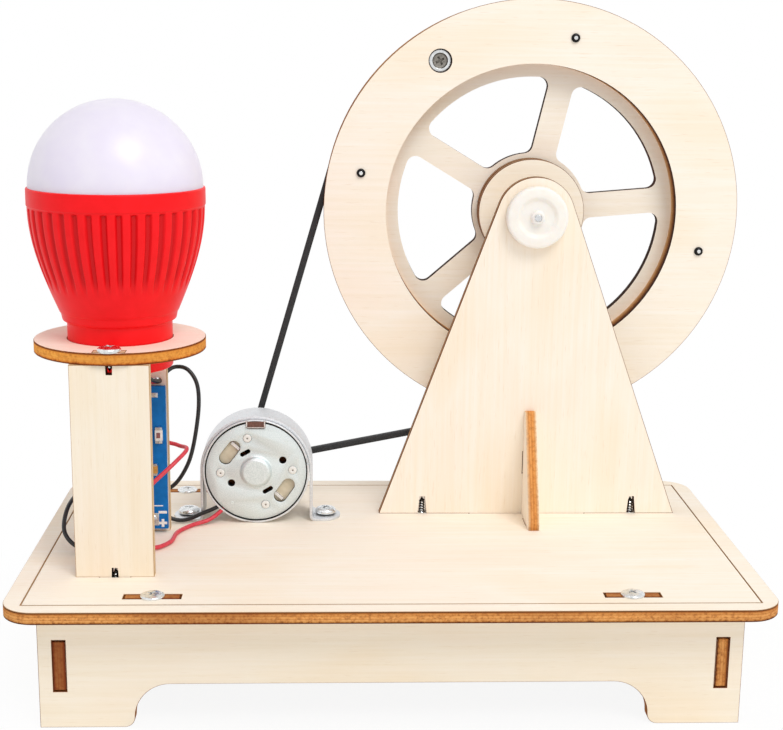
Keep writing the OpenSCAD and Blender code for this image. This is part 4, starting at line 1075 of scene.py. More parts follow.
# Core and ridge of a thread, as shares of the shank's radius
THREAD_CORE = 0.68
THREAD_RIDGE = 0.32
TURN_STEP = 49


def solids(name):
    """The box of each separate solid of a CAD node."""
    bm = merged(name)
    left = set(bm.verts)
    boxes = []
    while left:
        group = [left.pop()]
        for vert in group:
            near = {edge.other_vert(vert) for edge in vert.link_edges} & left
            left -= near
            group.extend(near)
        boxes.append([[f(v.co[i] for v in group) for i in range(3)] for f in (min, max)])
    bm.free()
    return sorted(boxes)


def paint_root_shade(mesh, spots, facing, core_r, gap):
    """Gives the shanks, and the gap under a head, a near-black grey that is painted shade."""
    mesh.materials.append(ROOT_SHADE)
    up = FACING[facing].to_3x3() @ Vector((0, 0, 1))
    for face in mesh.polygons:
        away = min((face.center - spot for spot, _ in spots), key=lambda offset: offset.length)
        height = away.dot(up)
        in_root = height < 0 and (away - up * height).length < core_r
        # Shanks and the gap under a head get the painted shade.
        face.material_index = int(in_root or 0 < height < gap * 1.01)


def set_screws(name, node, facing, head_r, head_h, shank_r, first_turn, metal=ZINC,
               dome_h=None, gap=0.0):
    """Finishes a node of like screws that point one way.

    A head is dome_h high where that isn't the CAD's height, and stands a gap above its seat.
    """
    axis = 1 if facing == "front" else 2
    boxes = solids(node)
    length = (boxes[0][1][axis] - boxes[0][0][axis]) / MM - head_h
    tip = shank_r * 1.4
    core_r = shank_r * THREAD_CORE
    dome_h = dome_h or head_h
    mesh = blank(pan_profile(head_r, dome_h, core_r, length, tip, gap),
                 head_r * 0.56, head_r * 0.24, dome_h + gap, dome_h * 0.62)
    mesh = wind(mesh, core_r, length, tip, shank_r * 0.9, shank_r * THREAD_RIDGE, metal)
    spots = []
    for k, (low, high) in enumerate(boxes):
        spot = (Vector(low) + Vector(high)) / 2
        spot[axis] = high[2] - head_h * MM if facing == "up" else low[axis] + head_h * MM
        spin = Matrix.Rotation(math.radians(first_turn + TURN_STEP * k), 4, "Z")
        spots.append((spot, FACING[facing] @ spin))
    mesh = place_copies(mesh, spots, metal)
    paint_root_shade(mesh, spots, facing, shank_r * 0.72 * MM, gap * MM)
    piece(name, mesh, "screw_steel", node)
    return spots


set_screws("base_screw_set", "base_screws", "up", *PAN, 20, dome_h=0.95)
set_screws("platform_screw_set", "platform_screws", "up", *PAN, 34)
set_screws("bracket_screw_set", "bracket_screws", "up", *PAN, 12, dome_h=1.5, gap=0.5)
set_screws("post_screw_set", "post_screws", "down", *PAN, 40)
set_screws("support_screw_set", "support_screws", "down", *PAN, 5)

# %% [markdown]
# Four small screws hold the wheel's layers together. Their heads are blackened and worn bright
# in the middle, so a small turned cap of bare zinc is set on each head.

# %% Rim screws
rim_spots = set_screws("rim_screw_set", "rim_screws", "front", 1.2, 0.78, 0.7, 28, BLACKED)
worn = lathe([(0, 0.84), (0.45, 0.83, 0.1), (0.66, 0.6), (0.66, 0.3), (0, 0.3)], steps=24)
piece("rim_screw_centres", place_copies(worn, rim_spots, ZINC), "screw_steel", "rim_screws")

# %% [markdown]
# The crank screw is a long machine screw with a round, dished head that sits in a hole of the
# front ring. Two hexagon nuts go on it. A real nut's corners are chamfered, and the shape
# that does it is a cone: the hexagon is intersected with a turned disc that has sloped rims.

# %% Crank screw and nuts
SCREW_R = 1.5
SCREW_CORE_R = SCREW_R * 0.86
SCREW_HEAD_H = 2.0
DISH_R = 2.05
NUT_H = 2.4
NUT_CORNER_R = 5.5 / 2 / math.cos(math.radians(30))
CHAMFER = (0.55, 0.35)


def crank_screw():
    low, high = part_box("crank_screw")
    length = (high.y - low.y) / MM - SCREW_HEAD_H
    profile = [
        (0, 1.2), (1.85, 1.3, 0.2), (2.1, 1.98, 0.1), (3.18, 1.85, 0.12), (3.18, 0, 0.1),
        (SCREW_CORE_R, 0), (SCREW_CORE_R, 0.3 - length), (SCREW_CORE_R - 0.3, -length),
        (0, -length),
    ]
    mesh = blank(profile, 1.5, 0.7, 1.3, 1.0)
    mesh = wind(mesh, SCREW_CORE_R, length, 0, 0.5, 0.21, ZINC)
    spot = Vector((CRANK.x, low.y + SCREW_HEAD_H * MM, CRANK.z))
    mesh = place_copies(mesh, [(spot, FACING["front"] @ Matrix.Rotation(0.5, 4, "Z"))], ZINC)
    mesh.materials.append(DARK_GREY_DISH)
    for face in mesh.polygons:
        in_dish = from_centre(face.center, CRANK) < DISH_R and face.center.y < spot.y
        face.material_index = int(in_dish)
    piece("crank_bolt", mesh, "screw_steel", "crank_screw")


def crank_nuts():
    turns = [math.pi * k / 3 for k in range(6)]
    hexagon = [(NUT_CORNER_R * math.cos(a), NUT_CORNER_R * math.sin(a)) for a in turns]
    rim = NUT_CORNER_R + 0.05
    sloped = [
        (SCREW_R, 0), (rim - CHAMFER[0], 0), (rim, CHAMFER[1]), (rim, NUT_H - CHAMFER[1]),
        (rim - CHAMFER[0], NUT_H), (SCREW_R, NUT_H),
    ]
    mesh = cut(prism(hexagon, 0, NUT_H), lathe(sloped, closed=True), "INTERSECT")
    spots = [(Vector((CRANK.x, low[1], CRANK.z)), FACING["back"] @ Matrix.Rotation(t, 4, "Z"))
             for (low, _), t in zip(solids("crank_nuts"), (0.2, 0.7))]
    piece("crank_nut_pair", place_copies(mesh, spots, ZINC), "screw_steel", "crank_nuts")


crank_screw()
crank_nuts()

# %% [markdown]
# The belt is an endless rubber cord of square section. It runs round the wheel's groove and
# the motor's pulley, and straight between them. Its line is two arcs, joined where both
# circles share a tangent. A tree sweeps a square with rounded corners along it, lying flat so
# that the square can't twist, and the result is then stood up.

# %% Belt
BELT_T = 1.8
BELT_CORNER = 0.35
BELT_WHEEL_R = 56.0
BELT_PULLEY_R = 3.1


def belt_tree():
    tree, given = new_tree("sweep_belt", {
        "Size": "Float", "Corner": "Float", "Material": "Material"})
    line = add(tree, "GeometryNodeMeshToCurve", {"Mesh": given["Geometry"]})
    level = add(tree, "GeometryNodeSetCurveNormal", {"Curve": line.outputs[0]}, mode="Z_UP")
    square = add(tree, "GeometryNodeCurvePrimitiveQuadrilateral", {
        "Width": given["Size"], "Height": given["Size"]})
    soft = add(tree, "GeometryNodeFilletCurve", {
        "Curve": square.outputs[0], "Radius": given["Corner"], "Count": 4}, mode="POLY")
    band = add(tree, "GeometryNodeCurveToMesh", {
        "Curve": level.outputs[0], "Profile Curve": soft.outputs[0]})
    return end_tree(tree, band.outputs[0], given["Material"])


def belt_line():
    """The belt's middle line, drawn flat in millimetres round the wheel's centre."""
    reach = Vector((MOTOR.x - AXLE.x, MOTOR.z - AXLE.z)) / MM
    towards = math.atan2(reach.y, reach.x)
    wrap = math.acos((BELT_WHEEL_R - BELT_PULLEY_R) / reach.length)
    arcs = [((0, 0), BELT_WHEEL_R, towards + wrap - 2 * math.pi, towards - wrap, 160),
            (reach, BELT_PULLEY_R, towards - wrap, towards + wrap, 32)]
    line = []
    for (x, y), r, first, last, steps in arcs:
        for k in range(steps + 1):
            a = first + (last - first) * k / steps
            line.append((x + r * math.cos(a), y + r * math.sin(a), 0))
    return line


def belt():
    points = belt_line()
    loop = bpy.data.meshes.new("loop")
    loop.from_pydata(points, [(k, (k + 1) % len(points)) for k in range(len(points))], [])
    mesh = run_tree(belt_tree(), loop, {
        "Size": BELT_T, "Corner": BELT_CORNER, "Material": RUBBER})
    bm = bmesh.new()
    bm.from_mesh(mesh)
    bmesh.ops.recalc_face_normals(bm, faces=bm.faces)
    mesh = new_mesh(bm)
    mesh.materials.append(RUBBER)
    mesh.transform(place((AXLE.x, middle("drive_belt").y, AXLE.z), "front"))
    piece("belt", mesh, "rubber", "drive_belt")


belt()

# %% [markdown]
# The lamp's housing is one moulding: a neck, a ledge, a bowl whose wall follows a quarter of
# a sine, and a plain band at the top. Between them 38 ribs stand out of the bowl. The bowl is
# turned first, with enough columns for the ribs. A tree then presses the flutes in by a rule:
# how deep a point sinks depends on its angle within one rib's share of the turn, and on its
# height, so that the flutes start squarely under the band and fade out above the ledge.

# %% Flute tree
FLUTE_WALL = 0.09
FLUTE_TOP_H = 0.5


def flute_tree():
    tree, given = new_tree("press_flutes", {
        "Ribs": "Float", "Flute share": "Float", "Depth": "Float", "Top": "Float",
        "Fade start": "Float", "Fade end": "Float", "Material": "Material"})
    spot = add(tree, "ShaderNodeSeparateXYZ", {
        0: add(tree, "GeometryNodeInputPosition").outputs[0]}).outputs
    # Where a point lies in its rib's share of the turn: 0 in a flute's middle, 0.5 on a rib's
    angle = add(tree, "ShaderNodeMath", {0: spot[1], 1: spot[0]}, operation="ARCTAN2")
    turn = add(tree, "ShaderNodeMath", {0: angle.outputs[0], 1: 2 * math.pi}, operation="DIVIDE")
    count = add(tree, "ShaderNodeMath", {0: turn.outputs[0], 1: given["Ribs"]},
                operation="MULTIPLY")
    share = add(tree, "ShaderNodeMath", {0: count.outputs[0], 1: 0.5}, operation="PINGPONG")
    edge = add(tree, "ShaderNodeMath", {0: given["Flute share"], 1: 2.0}, operation="DIVIDE")
    outer = add(tree, "ShaderNodeMath", {0: edge.outputs[0], 1: FLUTE_WALL}, operation="ADD")
    inner = add(tree, "ShaderNodeMath", {0: edge.outputs[0], 1: FLUTE_WALL},
                operation="SUBTRACT")
    across = add(tree, "ShaderNodeMapRange", {
        "Value": share.outputs[0], "From Min": outer.outputs[0], "From Max": inner.outputs[0]},
        interpolation_type="SMOOTHSTEP")
    # How far the flutes are pressed in at this height
    below = add(tree, "ShaderNodeMath", {0: given["Top"], 1: FLUTE_TOP_H},
                operation="SUBTRACT")
    top = add(tree, "ShaderNodeMapRange", {
        "Value": spot[2], "From Min": given["Top"], "From Max": below.outputs[0]},
        interpolation_type="SMOOTHSTEP")
    foot = add(tree, "ShaderNodeMapRange", {
        "Value": spot[2], "From Min": given["Fade end"], "From Max": given["Fade start"]},
        interpolation_type="SMOOTHSTEP")
    ends = add(tree, "ShaderNodeMath", {0: top.outputs[0], 1: foot.outputs[0]},
               operation="MULTIPLY")
    mask = add(tree, "ShaderNodeMath", {0: ends.outputs[0], 1: across.outputs[0]},
               operation="MULTIPLY")
    # The point moves towards the axis by that share of the depth
    sink = add(tree, "ShaderNodeMath", {0: mask.outputs[0], 1: given["Depth"]},
               operation="MULTIPLY")
    back = add(tree, "ShaderNodeMath", {0: sink.outputs[0], 1: -1.0}, operation="MULTIPLY")
    flat = add(tree, "ShaderNodeCombineXYZ", {"X": spot[0], "Y": spot[1]})
    outwards = add(tree, "ShaderNodeVectorMath", {0: flat.outputs[0]}, operation="NORMALIZE")
    offset = add(tree, "ShaderNodeVectorMath", {
        0: outwards.outputs[0], "Scale": back.outputs[0]}, operation="SCALE")
    # The mask is also kept as the attribute flute, which paints shade into the grooves' red.
    marked = add(tree, "GeometryNodeStoreNamedAttribute", {
        "Geometry": given["Geometry"], "Name": "flute", "Value": mask.outputs[0]})
    pressed = add(tree, "GeometryNodeSetPosition", {
        "Geometry": marked.outputs[0], "Offset": offset.outputs[0]})
    return end_tree(tree, pressed.outputs[0], given["Material"])


FLUTES = flute_tree()

# %% [markdown]
# The housing's profile starts at the neck's foot, 7.3 mm below the platform's top, climbs the
# outside to the rim and comes back down the inside of the wall. The ledge over the neck has a
# small bead, as on the real moulding.

# %% Lamp housing
RIBS = 38
COLUMNS = RIBS * 16
NECK_R = 12.9
NECK_END = -7.3
NECK_WALL = 1.6
LEDGE_R = 14.3
LEDGE_H = 6.2
BAND_H = 32.8
BAND_R = 21.6
RIM_H = 37.2
SEAT_R = 19.8
BOWL_WALL = 2.4
BOWL_STEPS = 46


def bowl_r(h):
    """Radius of the bowl at a height above the platform."""
    share = (h - LEDGE_H) / (BAND_H - LEDGE_H)
    return LEDGE_R + (BAND_R - 0.2 - LEDGE_R) * math.sin(math.pi / 2 * share)


def lamp_housing():
    foot = LEDGE_H + 0.7
    heights = [foot + (BAND_H - 1.0 - foot) * k / BOWL_STEPS for k in range(BOWL_STEPS + 1)]
    heights += [BAND_H - 1.0 + k * 0.1 for k in range(1, 10)]
    inner_r = NECK_R - NECK_WALL
    floor_h = NECK_END + NECK_WALL
    profile = [
        (0, NECK_END), (NECK_R, NECK_END, 0.5), (NECK_R, LEDGE_H - 1.9, 0.4),
        (LEDGE_R - 0.35, LEDGE_H - 1.4, 0.5), (LEDGE_R - 0.05, LEDGE_H + 0.1, 0.4),
        (LEDGE_R + 0.1, LEDGE_H + 0.5, 0.2),
        *[(bowl_r(h), h) for h in heights],
        (BAND_R - 0.15, BAND_H), (BAND_R, BAND_H + 0.25), (BAND_R, RIM_H, 0.45),
        (SEAT_R, RIM_H), (SEAT_R, BAND_H + 0.4),
        *[(bowl_r(h) - BOWL_WALL, h) for h in reversed(heights[::6])],
        (inner_r, LEDGE_H), (inner_r, floor_h), (0, floor_h),
    ]
    mesh = run_tree(FLUTES, lathe(profile, steps=COLUMNS), {
        "Ribs": float(RIBS), "Flute share": 0.40, "Depth": 0.65, "Top": BAND_H - 0.15,
        "Fade start": 17.5, "Fade end": 11.8, "Material": RED_ABS})
    turn = Matrix.Rotation(math.pi / RIBS, 4, "Z")
    mesh.transform(Matrix.Translation(LAMP) @ turn @ Matrix.Scale(MM, 4))
    piece("lamp_housing", mesh, "red_plastic", "bulb_housing")


lamp_housing()

# %% [markdown]
# The dome is half a ball of milky plastic with a lip that snaps into the housing.

# %% Lamp dome
DOME_R = 21.1
DOME_WALL = 1.2
DOME_STEPS = 36
LIP_R = 19.7
LIP_H = 1.8


def lamp_dome():
    turns = [math.pi / 2 * k / DOME_STEPS for k in range(DOME_STEPS + 1)]
    outer = [(DOME_R * math.sin(a), DOME_R * math.cos(a)) for a in turns]
    inner = [((LIP_R - 1) * x / DOME_R, z * (DOME_R - DOME_WALL) / DOME_R)
             for x, z in reversed(outer)]
    lip = [(LIP_R, 0.0), (LIP_R, -LIP_H, 0.2), (LIP_R - 1, -LIP_H, 0.2)]
    seat = LAMP + Vector((0, 0, RIM_H * MM))
    mesh = lathe([*outer, *lip, *inner], place(seat), steps=144)
    piece("lamp_dome", mesh, "white_plastic", "bulb_dome", MILKY)


lamp_dome()

# %% [markdown]
# The motor is a shallow can of plated sheet, drawn from one disc, so its rim and its back
# corner are rounded, and its rim is staked over the end cap in three places. The cap sits low
# in the rim's recess, so a gap shows above it, and the gap's walls are painted near black as
# shade. The recess's edge is drawn up to 0.3 mm higher at the top for that, which makes the
# gap a crescent, as it is on the real motor.

# %% Motor can
CAN_R = 14.4
CAN_BORE_R = 13.6
CAN_L = 15.0
RECESS_R = 13.8
RECESS_L = 1.3
CAP_SAG = 0.3
BUSH_SEAT = (3.7, 1.4)
BUSH_BORE_R = 2.52
SHEET_T = 0.8
STAKES = [170, 12, 262]
STAKE_R = 14.2
IN_MOTOR = place(MOTOR, "back")


def box_cutter(x, y, z, w, h, d, turn=0.0):
    """A box in the motor's frame: x to the right, y down, z to the back."""
    outline = [(-w / 2, -h / 2), (w / 2, -h / 2), (w / 2, h / 2), (-w / 2, h / 2)]
    mesh = prism(outline, z, z + d)
    mesh.transform(Matrix.Translation((x, y, 0)) @ Matrix.Rotation(turn, 4, "Z"))
    return mesh


def motor_can():
    seat_r, seat_l = BUSH_SEAT
    mesh = lathe([
        (RECESS_R, 0, 0.1), (CAN_R, 0, 0.15), (CAN_R, CAN_L, 1.0), (seat_r, CAN_L, 0.3),
        (seat_r, CAN_L + seat_l, 0.3), (BUSH_BORE_R, CAN_L + seat_l),
        (BUSH_BORE_R, CAN_L - SHEET_T), (CAN_BORE_R, CAN_L - SHEET_T),
        (CAN_BORE_R, RECESS_L + 0.3), (RECESS_R, RECESS_L)], steps=144, closed=True)
    for vert in mesh.vertices:
        radius = math.hypot(vert.co.x, vert.co.y)
        if RECESS_R - 0.1 < radius < RECESS_R + 0.15 and vert.co.z < RECESS_L + 0.2:
            vert.co.y -= CAP_SAG * max(0, -vert.co.y / radius)
    for angle in STAKES:
        turn = math.radians(-angle)
        x = STAKE_R * math.cos(turn)
        y = STAKE_R * math.sin(turn)
        mesh = cut(mesh, box_cutter(x, y, -1, 0.7, 1.8, 1.5, turn))
    mesh.transform(IN_MOTOR)
    mesh.materials.clear()
    piece("can", mesh, "plated_steel", "motor_can", SATIN, SHEARED_AND_SHADE)
    # The walls of the gap above the cap get the near-black sheet as painted shade.
    for face in mesh.polygons:
        gap_r = RECESS_R + 0.05 + CAP_SAG * (face.center.z > MOTOR.z)
        depth = (face.center.y - MOTOR.y) / MM
        rim = abs(face.normal.y) > 0.9 and depth < 0.8
        in_gap = from_centre(face.center, MOTOR) < gap_r and depth < 2 and not rim
        face.material_index = int(in_gap)


motor_can()

# %% [markdown]
# The end cap keeps its CAD outline, with windows, slots and holes, whose walls are sheared and
# painted near black as shade. Its middle is drawn out into a boss with soft corners, and two
# punch marks are pressed into it.

# %% End cap
CAP_Y = 0.4
BOSS_REACH = 4.4
PUNCH_MARKS = [(8.3, -8.6), (-6.6, 8.9)]
BOSS = [
    (0, 1.38), (3.3, 1.38, 0.1), (4.05, 0.95, 0.75), (4.1, 0.12, 0.6), (4.9, 0.03),
    (4.9, -0.3), (0, -0.3),
]


def finish_solid(name, node, slot, material, width):
    """Copies a CAD solid and softens its edges."""
    bm = merged(node)
    bevel_edges(bm, creased(bm), width)
    return piece(name, new_mesh(bm), slot, node, material)


def end_cap():
    obj = finish_solid("end_cap", "motor_end_cap", "plated_steel", CAP_SHEET, 0.15)
    obj.data.materials.append(SHEARED_AND_SHADE)
    # Walls of the windows, slots and holes get a near-black grey as painted shade.
    for face in obj.data.polygons:
        wall = abs(face.normal.y) < 0.9 and from_centre(face.center, MOTOR) > BOSS_REACH
        face.material_index = int(wall)


def boss():
    """The drawn boss: it flares where it leaves the cap and is rounded at its front."""
    mesh = lathe(BOSS, place(MOTOR + Vector((0, CAP_Y * MM, 0)), "front"))
    piece("end_cap_boss", mesh, "plated_steel", "motor_end_cap", CAP_SHEET)


def on_cap(profile, spots, material, name, slot, node):
    """Sets copies of a small turned piece on the end cap."""
    mesh = lathe(profile, steps=32)
    places = [(MOTOR + Vector((x * MM, CAP_Y * MM, -y * MM)), FACING["front"]) for x, y in spots]
    piece(name, place_copies(mesh, places, material), slot, node)


end_cap()
boss()
on_cap([(0, -0.02), (0.18, -0.03), (0.3, 0.05), (0.42, 0.03), (0.5, -0.02)],
       PUNCH_MARKS, CAP_SHEET, "punch_marks", "plated_steel", "motor_end_cap")

# %% [markdown]
# Behind the cap sits the beige brush holder. Through the two round holes and the slots one
# looks past it into the dark, so pockets are cut into it there, whose walls and floors are
# painted black as shade.
# Its four pins are riveted over in white rings, and a brown key sits in the cap's top notch
# between two bent lips. A brush spring shows as a lighter strip at one end of each window.

# %% Brush holder
PINS = [(-2.3, -9.3), (-9.6, 0.4), (9.9, -0.4), (2.5, 9.3)]
HOLES = [(7.2, -3.2), (-6.7, 3.2)]
HOLE_R = 1.1
SLOTS = [(-2.9, -5.2), (3.1, 5.2)]
SLOT_SIZE = (3.2, 1.3)
SLOT_TURN = math.radians(-38)
POCKET_START = 0.2
POCKET_L = 4
# The pockets' walls and floors lie within these distances of their middles
DARK = [(x, y, 1.2) for x, y in HOLES] + [(x, y, 1.9) for x, y in SLOTS]


def brush_holder():
    bm = merged("motor_brush_holder")
    bevel_edges(bm, creased(bm), 0.08, 1)
    mesh = new_mesh(bm)
    mesh.transform(IN_MOTOR.inverted())
    mesh.materials.append(BEIGE)
    for x, y in HOLES:
        hole = lathe([(0, 0), (HOLE_R, 0), (HOLE_R, POCKET_L), (0, POCKET_L)],
                     Matrix.Translation((x, y, POCKET_START)), steps=32)
        mesh = cut(mesh, hole)
    for x, y in SLOTS:
        mesh = cut(mesh, box_cutter(x, y, POCKET_START, *SLOT_SIZE, POCKET_L, SLOT_TURN))
    mesh.transform(IN_MOTOR)
    mesh.materials.clear()
    piece("brush_holder", mesh, "beige_plastic", "motor_brush_holder", BEIGE, EPOXY_AND_SHADE)
    # Faces deep in the pockets get black epoxy as painted shade.
    for face in mesh.polygons:
        x = (face.center.x - MOTOR.x) / MM
        y = (MOTOR.z - face.center.z) / MM
        near = any(math.hypot(x - a, y - b) < r for a, b, r in DARK)
        face.material_index = int(near and face.center.y > MOTOR.y + 1.7 * MM)


brush_holder()

# %% [markdown]
# The pins' white rings have a dimple in the middle, whose grey floor is painted shade. Rings
# and dimples are turned and set on the cap in copies. The key, its lips and the springs are
# small blocks with softened edges.

# %% Key, springs and rivets
KEY = (0, -13.3, 4.4, 1.5)
LIPS = [(-2.4, -13.3, 0.45, 2.0), (2.4, -13.3, 0.45, 2.0), (0, -12.4, 5.2, 0.35)]
WINDOWS = [(-7.07, -5.3, 1), (7.6, 5.3, -1)]
WINDOW_TURN = math.radians(-48)
SPRING_SHIFT = 2.3
RIVET = [
    (0, 0.27), (0.25, 0.28), (0.42, 0.42), (0.75, 0.45), (1.05, 0.32), (1.12, 0.05),
    (1.12, -0.3),
]


def key_and_springs():
    x, y, w, h = KEY
    blocks = [(box_cutter(x, y, -0.15, w, h, 0.8), BROWN)]
    for x, y, w, h in LIPS:
        blocks.append((box_cutter(x, y, -0.25, w, h, 0.8), NYLON))
    for x, y, end in WINDOWS:
        x += SPRING_SHIFT * end * math.cos(WINDOW_TURN)
        y += SPRING_SHIFT * end * math.sin(WINDOW_TURN)
        blocks.append((box_cutter(x, y, 0.9, 1.0, 3.0, 0.6, WINDOW_TURN), NYLON))
    bm = bmesh.new()
    for mesh, _ in blocks:
        bm.from_mesh(mesh)
    light = [material is NYLON for mesh, material in blocks for _ in mesh.polygons]
    for face, is_light in zip(bm.faces, light):
        face.material_index = int(is_light)
    bevel_edges(bm, bm.edges[:], 0.08, 1, unit=1)
    mesh = new_mesh(bm)
    mesh.transform(IN_MOTOR)
    piece("key_and_springs", mesh, "beige_plastic", "motor_brush_holder", BROWN, NYLON)


key_and_springs()
on_cap(RIVET, PINS, CERAMIC, "rivet_rings", "white_plastic", "motor_brush_holder")
# The dimples' grey is painted shade.
on_cap([(0, 0.31), (0.2, 0.31), (0.26, 0.25), (0, 0.25)],
       PINS, DARK_GREY_DISH, "rivet_dimples", "white_plastic", "motor_brush_holder")

# %% [markdown]
# The bracket is a strip of the same sheet, bent over the can and out into two feet. The strip
# is drawn as one outline, offset by half its thickness on both sides of its middle line, and
# then given its width. The bends are arcs, and the feet's corners are rounded.

# %% Motor bracket
STRAP_T = 0.7
STRAP_W = 10.0
STRAP_BACK = 1.2
FOOT_L = 22.8
FOOT_CORNER_R = 4.7
BEND_R = 1.2


def strap_line():
    """Middle line of the strip in the motor's frame: x to the right, y down."""
    r = CAN_R + 0.05 + STRAP_T / 2
    floor_y = (MOTOR.z - PLATE.z) / MM - STRAP_T / 2
    half = [(r * math.sin(a), -r * math.cos(a))
            for a in (math.pi / 2 * k / 40 for k in range(41))]
    bend = [(r + BEND_R - BEND_R * math.cos(a), floor_y - BEND_R + BEND_R * math.sin(a))
            for a in (math.pi / 2 * k / 6 for k in range(7))]
    right = [*half, *bend, (FOOT_L, floor_y)]
    return [(-x, y) for x, y in reversed(right[1:])] + right


def strip_outline(line, thickness):
    """The two sides of a line, half the thickness away from it."""
    sides = ([], [])
    for k, point in enumerate(line):
        ahead = Vector(line[min(k + 1, len(line) - 1)]) - Vector(line[max(k - 1, 0)])
        normal = Vector((-ahead.y, ahead.x)).normalized() * thickness / 2
        sides[0].append(Vector(point) + normal)
        sides[1].append(Vector(point) - normal)
    return [tuple(p) for p in sides[0] + sides[1][::-1]]


def motor_bracket():
    mesh = prism(strip_outline(strap_line(), STRAP_T), STRAP_BACK, STRAP_BACK + STRAP_W)
    bm = bmesh.new()
    bm.from_mesh(mesh)
    corners = [
        e for e in bm.edges
        if all(abs(v.co.x) > FOOT_L - 0.01 for v in e.verts)
        and abs(e.verts[0].co.z - e.verts[1].co.z) < 0.01
    ]
    bevel_edges(bm, corners, FOOT_CORNER_R, 10, unit=1)
    bmesh.ops.dissolve_limit(bm, angle_limit=math.radians(0.5), verts=bm.verts, edges=bm.edges)
    bevel_edges(bm, creased(bm), 0.12, unit=1)
    mesh = new_mesh(bm)
    mesh.transform(IN_MOTOR)
    piece("bracket", mesh, "plated_steel", "motor_bracket", SATIN)


motor_bracket()

# %% [markdown]
# The converter board steps the motor's voltage up for the lamp. It is blue with tinned pads
# and small moulded parts. Everything on it is a small block with softened edges, so tables
# list the blocks, and each block is added to one mesh with the number of its material. The
# polarity marks are generic: a plus and a minus.

# %% Converter board
BOARD_EDGE = Vector(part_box("converter_board")[0])
BOARD_SIZE = (16.4, 39.0, 1.2)
JOINTS = [(2.9, 2.7), (12.3, 2.7), (4.1, 10.8), (9.3, 10.8)]
PAD_W = 3.4
# Left, bottom, width and height of the two pads at the upper edge
EDGE_PADS = [(1.5, 36.4, 2.0, 1.2), (12.6, 36.0, 1.8, 1.2)]
# The same of a plus, a minus and three tick marks
MARKS = [
    (13.9, 1.3, 2.2, 0.7), (14.65, 0.55, 0.7, 0.78), (14.65, 1.97, 0.7, 0.78),
    (13.9, 4.3, 2.2, 0.7),
    (11.7, 6.3, 3.4, 0.3), (0.7, 7.0, 0.3, 3.4), (12.2, 22.4, 0.3, 6.8),
]
PAD_FRONT = 0.04
MARK_FRONT = 0.05
PRINT_BACK = -0.1
PRINT_EDGE = 0.015


def add_block(bm, x, z, w, h, front, back, material, width=0.12):
    """A block on the board's front, from its lower left corner, with softened edges."""
    spot = BOARD_EDGE + Vector((x + w / 2, -(front + back) / 2, z + h / 2)) * MM
    size = Matrix.Diagonal((w * MM, (front - back) * MM, h * MM, 1))
    made = bmesh.ops.create_cube(bm, size=1, matrix=Matrix.Translation(spot) @ size)
    faces = {f for v in made["verts"] for f in v.link_faces}
    edges = {e for f in faces for e in f.edges}
    rounded_off = bevel_edges(bm, list(edges), width)
    for face in {f for v in rounded_off["verts"] for f in v.link_faces}:
        face.material_index = material


def converter_board():
    board_w, board_h, board_t = BOARD_SIZE
    bm = bmesh.new()
    add_block(bm, 0, 0, board_w, board_h, 0, -board_t, 0, 0.2)
    pads = [(x - PAD_W / 2, z - PAD_W / 2, PAD_W, PAD_W) for x, z in JOINTS]
    for pad in pads + EDGE_PADS:
        add_block(bm, *pad, PAD_FRONT, PRINT_BACK, 1, PRINT_EDGE)
    for mark in MARKS:
        add_block(bm, *mark, MARK_FRONT, PRINT_BACK, 2, PRINT_EDGE)
    piece("converter_pcb", new_mesh(bm), "circuit_board", "converter_board",
          SOLDER_MASK, TIN, MARKING)


converter_board()

# %% [markdown]
# The parts on the board are a ceramic body, a square inductor, a diode and two ochre tantalum
# bodies, each between two tinned ends. Domes of solder hold the four leads, and a strip of foam
# tape holds the board to the post.

# %% Board parts
# Left, bottom, width, height, thickness, and the number of the material
PARTS = [
    (13.5, 23.7, 2.0, 4.4, 0.9, 2), (4.4, 20.4, 6.4, 6.4, 2.6, 3), (5.0, 30.4, 5.0, 4.0, 1.4, 3),
    (2.0, 14.6, 2.6, 4.6, 1.5, 4), (12.4, 15.0, 1.6, 3.2, 1.0, 4),
]
TINNED_SHARE = 0.18
SOLDER = [(0, 1.0), (0.35, 0.95), (0.65, 0.75), (0.8, 0.5), (1.0, 0.22), (1.3, 0.0)]


def converter_parts():
    bm = bmesh.new()
    for x, z, w, h, t, kind in PARTS:
        end = TINNED_SHARE * h
        add_block(bm, x, z + end, w, h - 2 * end, t, 0, kind)
        for start in (z, z + h - end - 0.1):
            add_block(bm, x + 0.1, start, w - 0.2, end + 0.1, t - 0.06, 0, 1, 0.06)
    # A faded stripe on the first part, and the inductor's copper
    add_block(bm, 13.9, 25.2, 1.0, 1.5, 0.95, 0.5, 5, 0.02)
    add_block(bm, 5.6, 21.6, 4.0, 4.0, 2.62, 2.0, 0, 0.3)
    piece("converter_chips", new_mesh(bm), "board_parts", "converter_parts",
          COPPER, TIN, CERAMIC, EPOXY_AND_SHADE, TANTALUM, PINK_INK)


def solder_joints():
    spots = [(BOARD_EDGE + Vector((x, 0, z)) * MM, FACING["front"]) for x, z in JOINTS]
    mesh = place_copies(lathe(SOLDER, steps=24), spots, TIN)
    piece("solder_joints", mesh, "board_parts", "converter_parts")


converter_parts()
solder_joints()
finish_solid("foam_tape", "board_pad", "foam", FOAM, 0.1)

# %% [markdown]
# Four thin leads join the motor, the board and the lamp. Each is a soft PVC sheath over
# stranded wire, so it takes easy curves and lies on the plate where it can. A lead's route is
# a short list of given points, with a smooth curve through them. A tree sweeps a circle along
# the curve.

# %% Leads
LEAD_D = 1.1
ROUTE_STEPS = 10
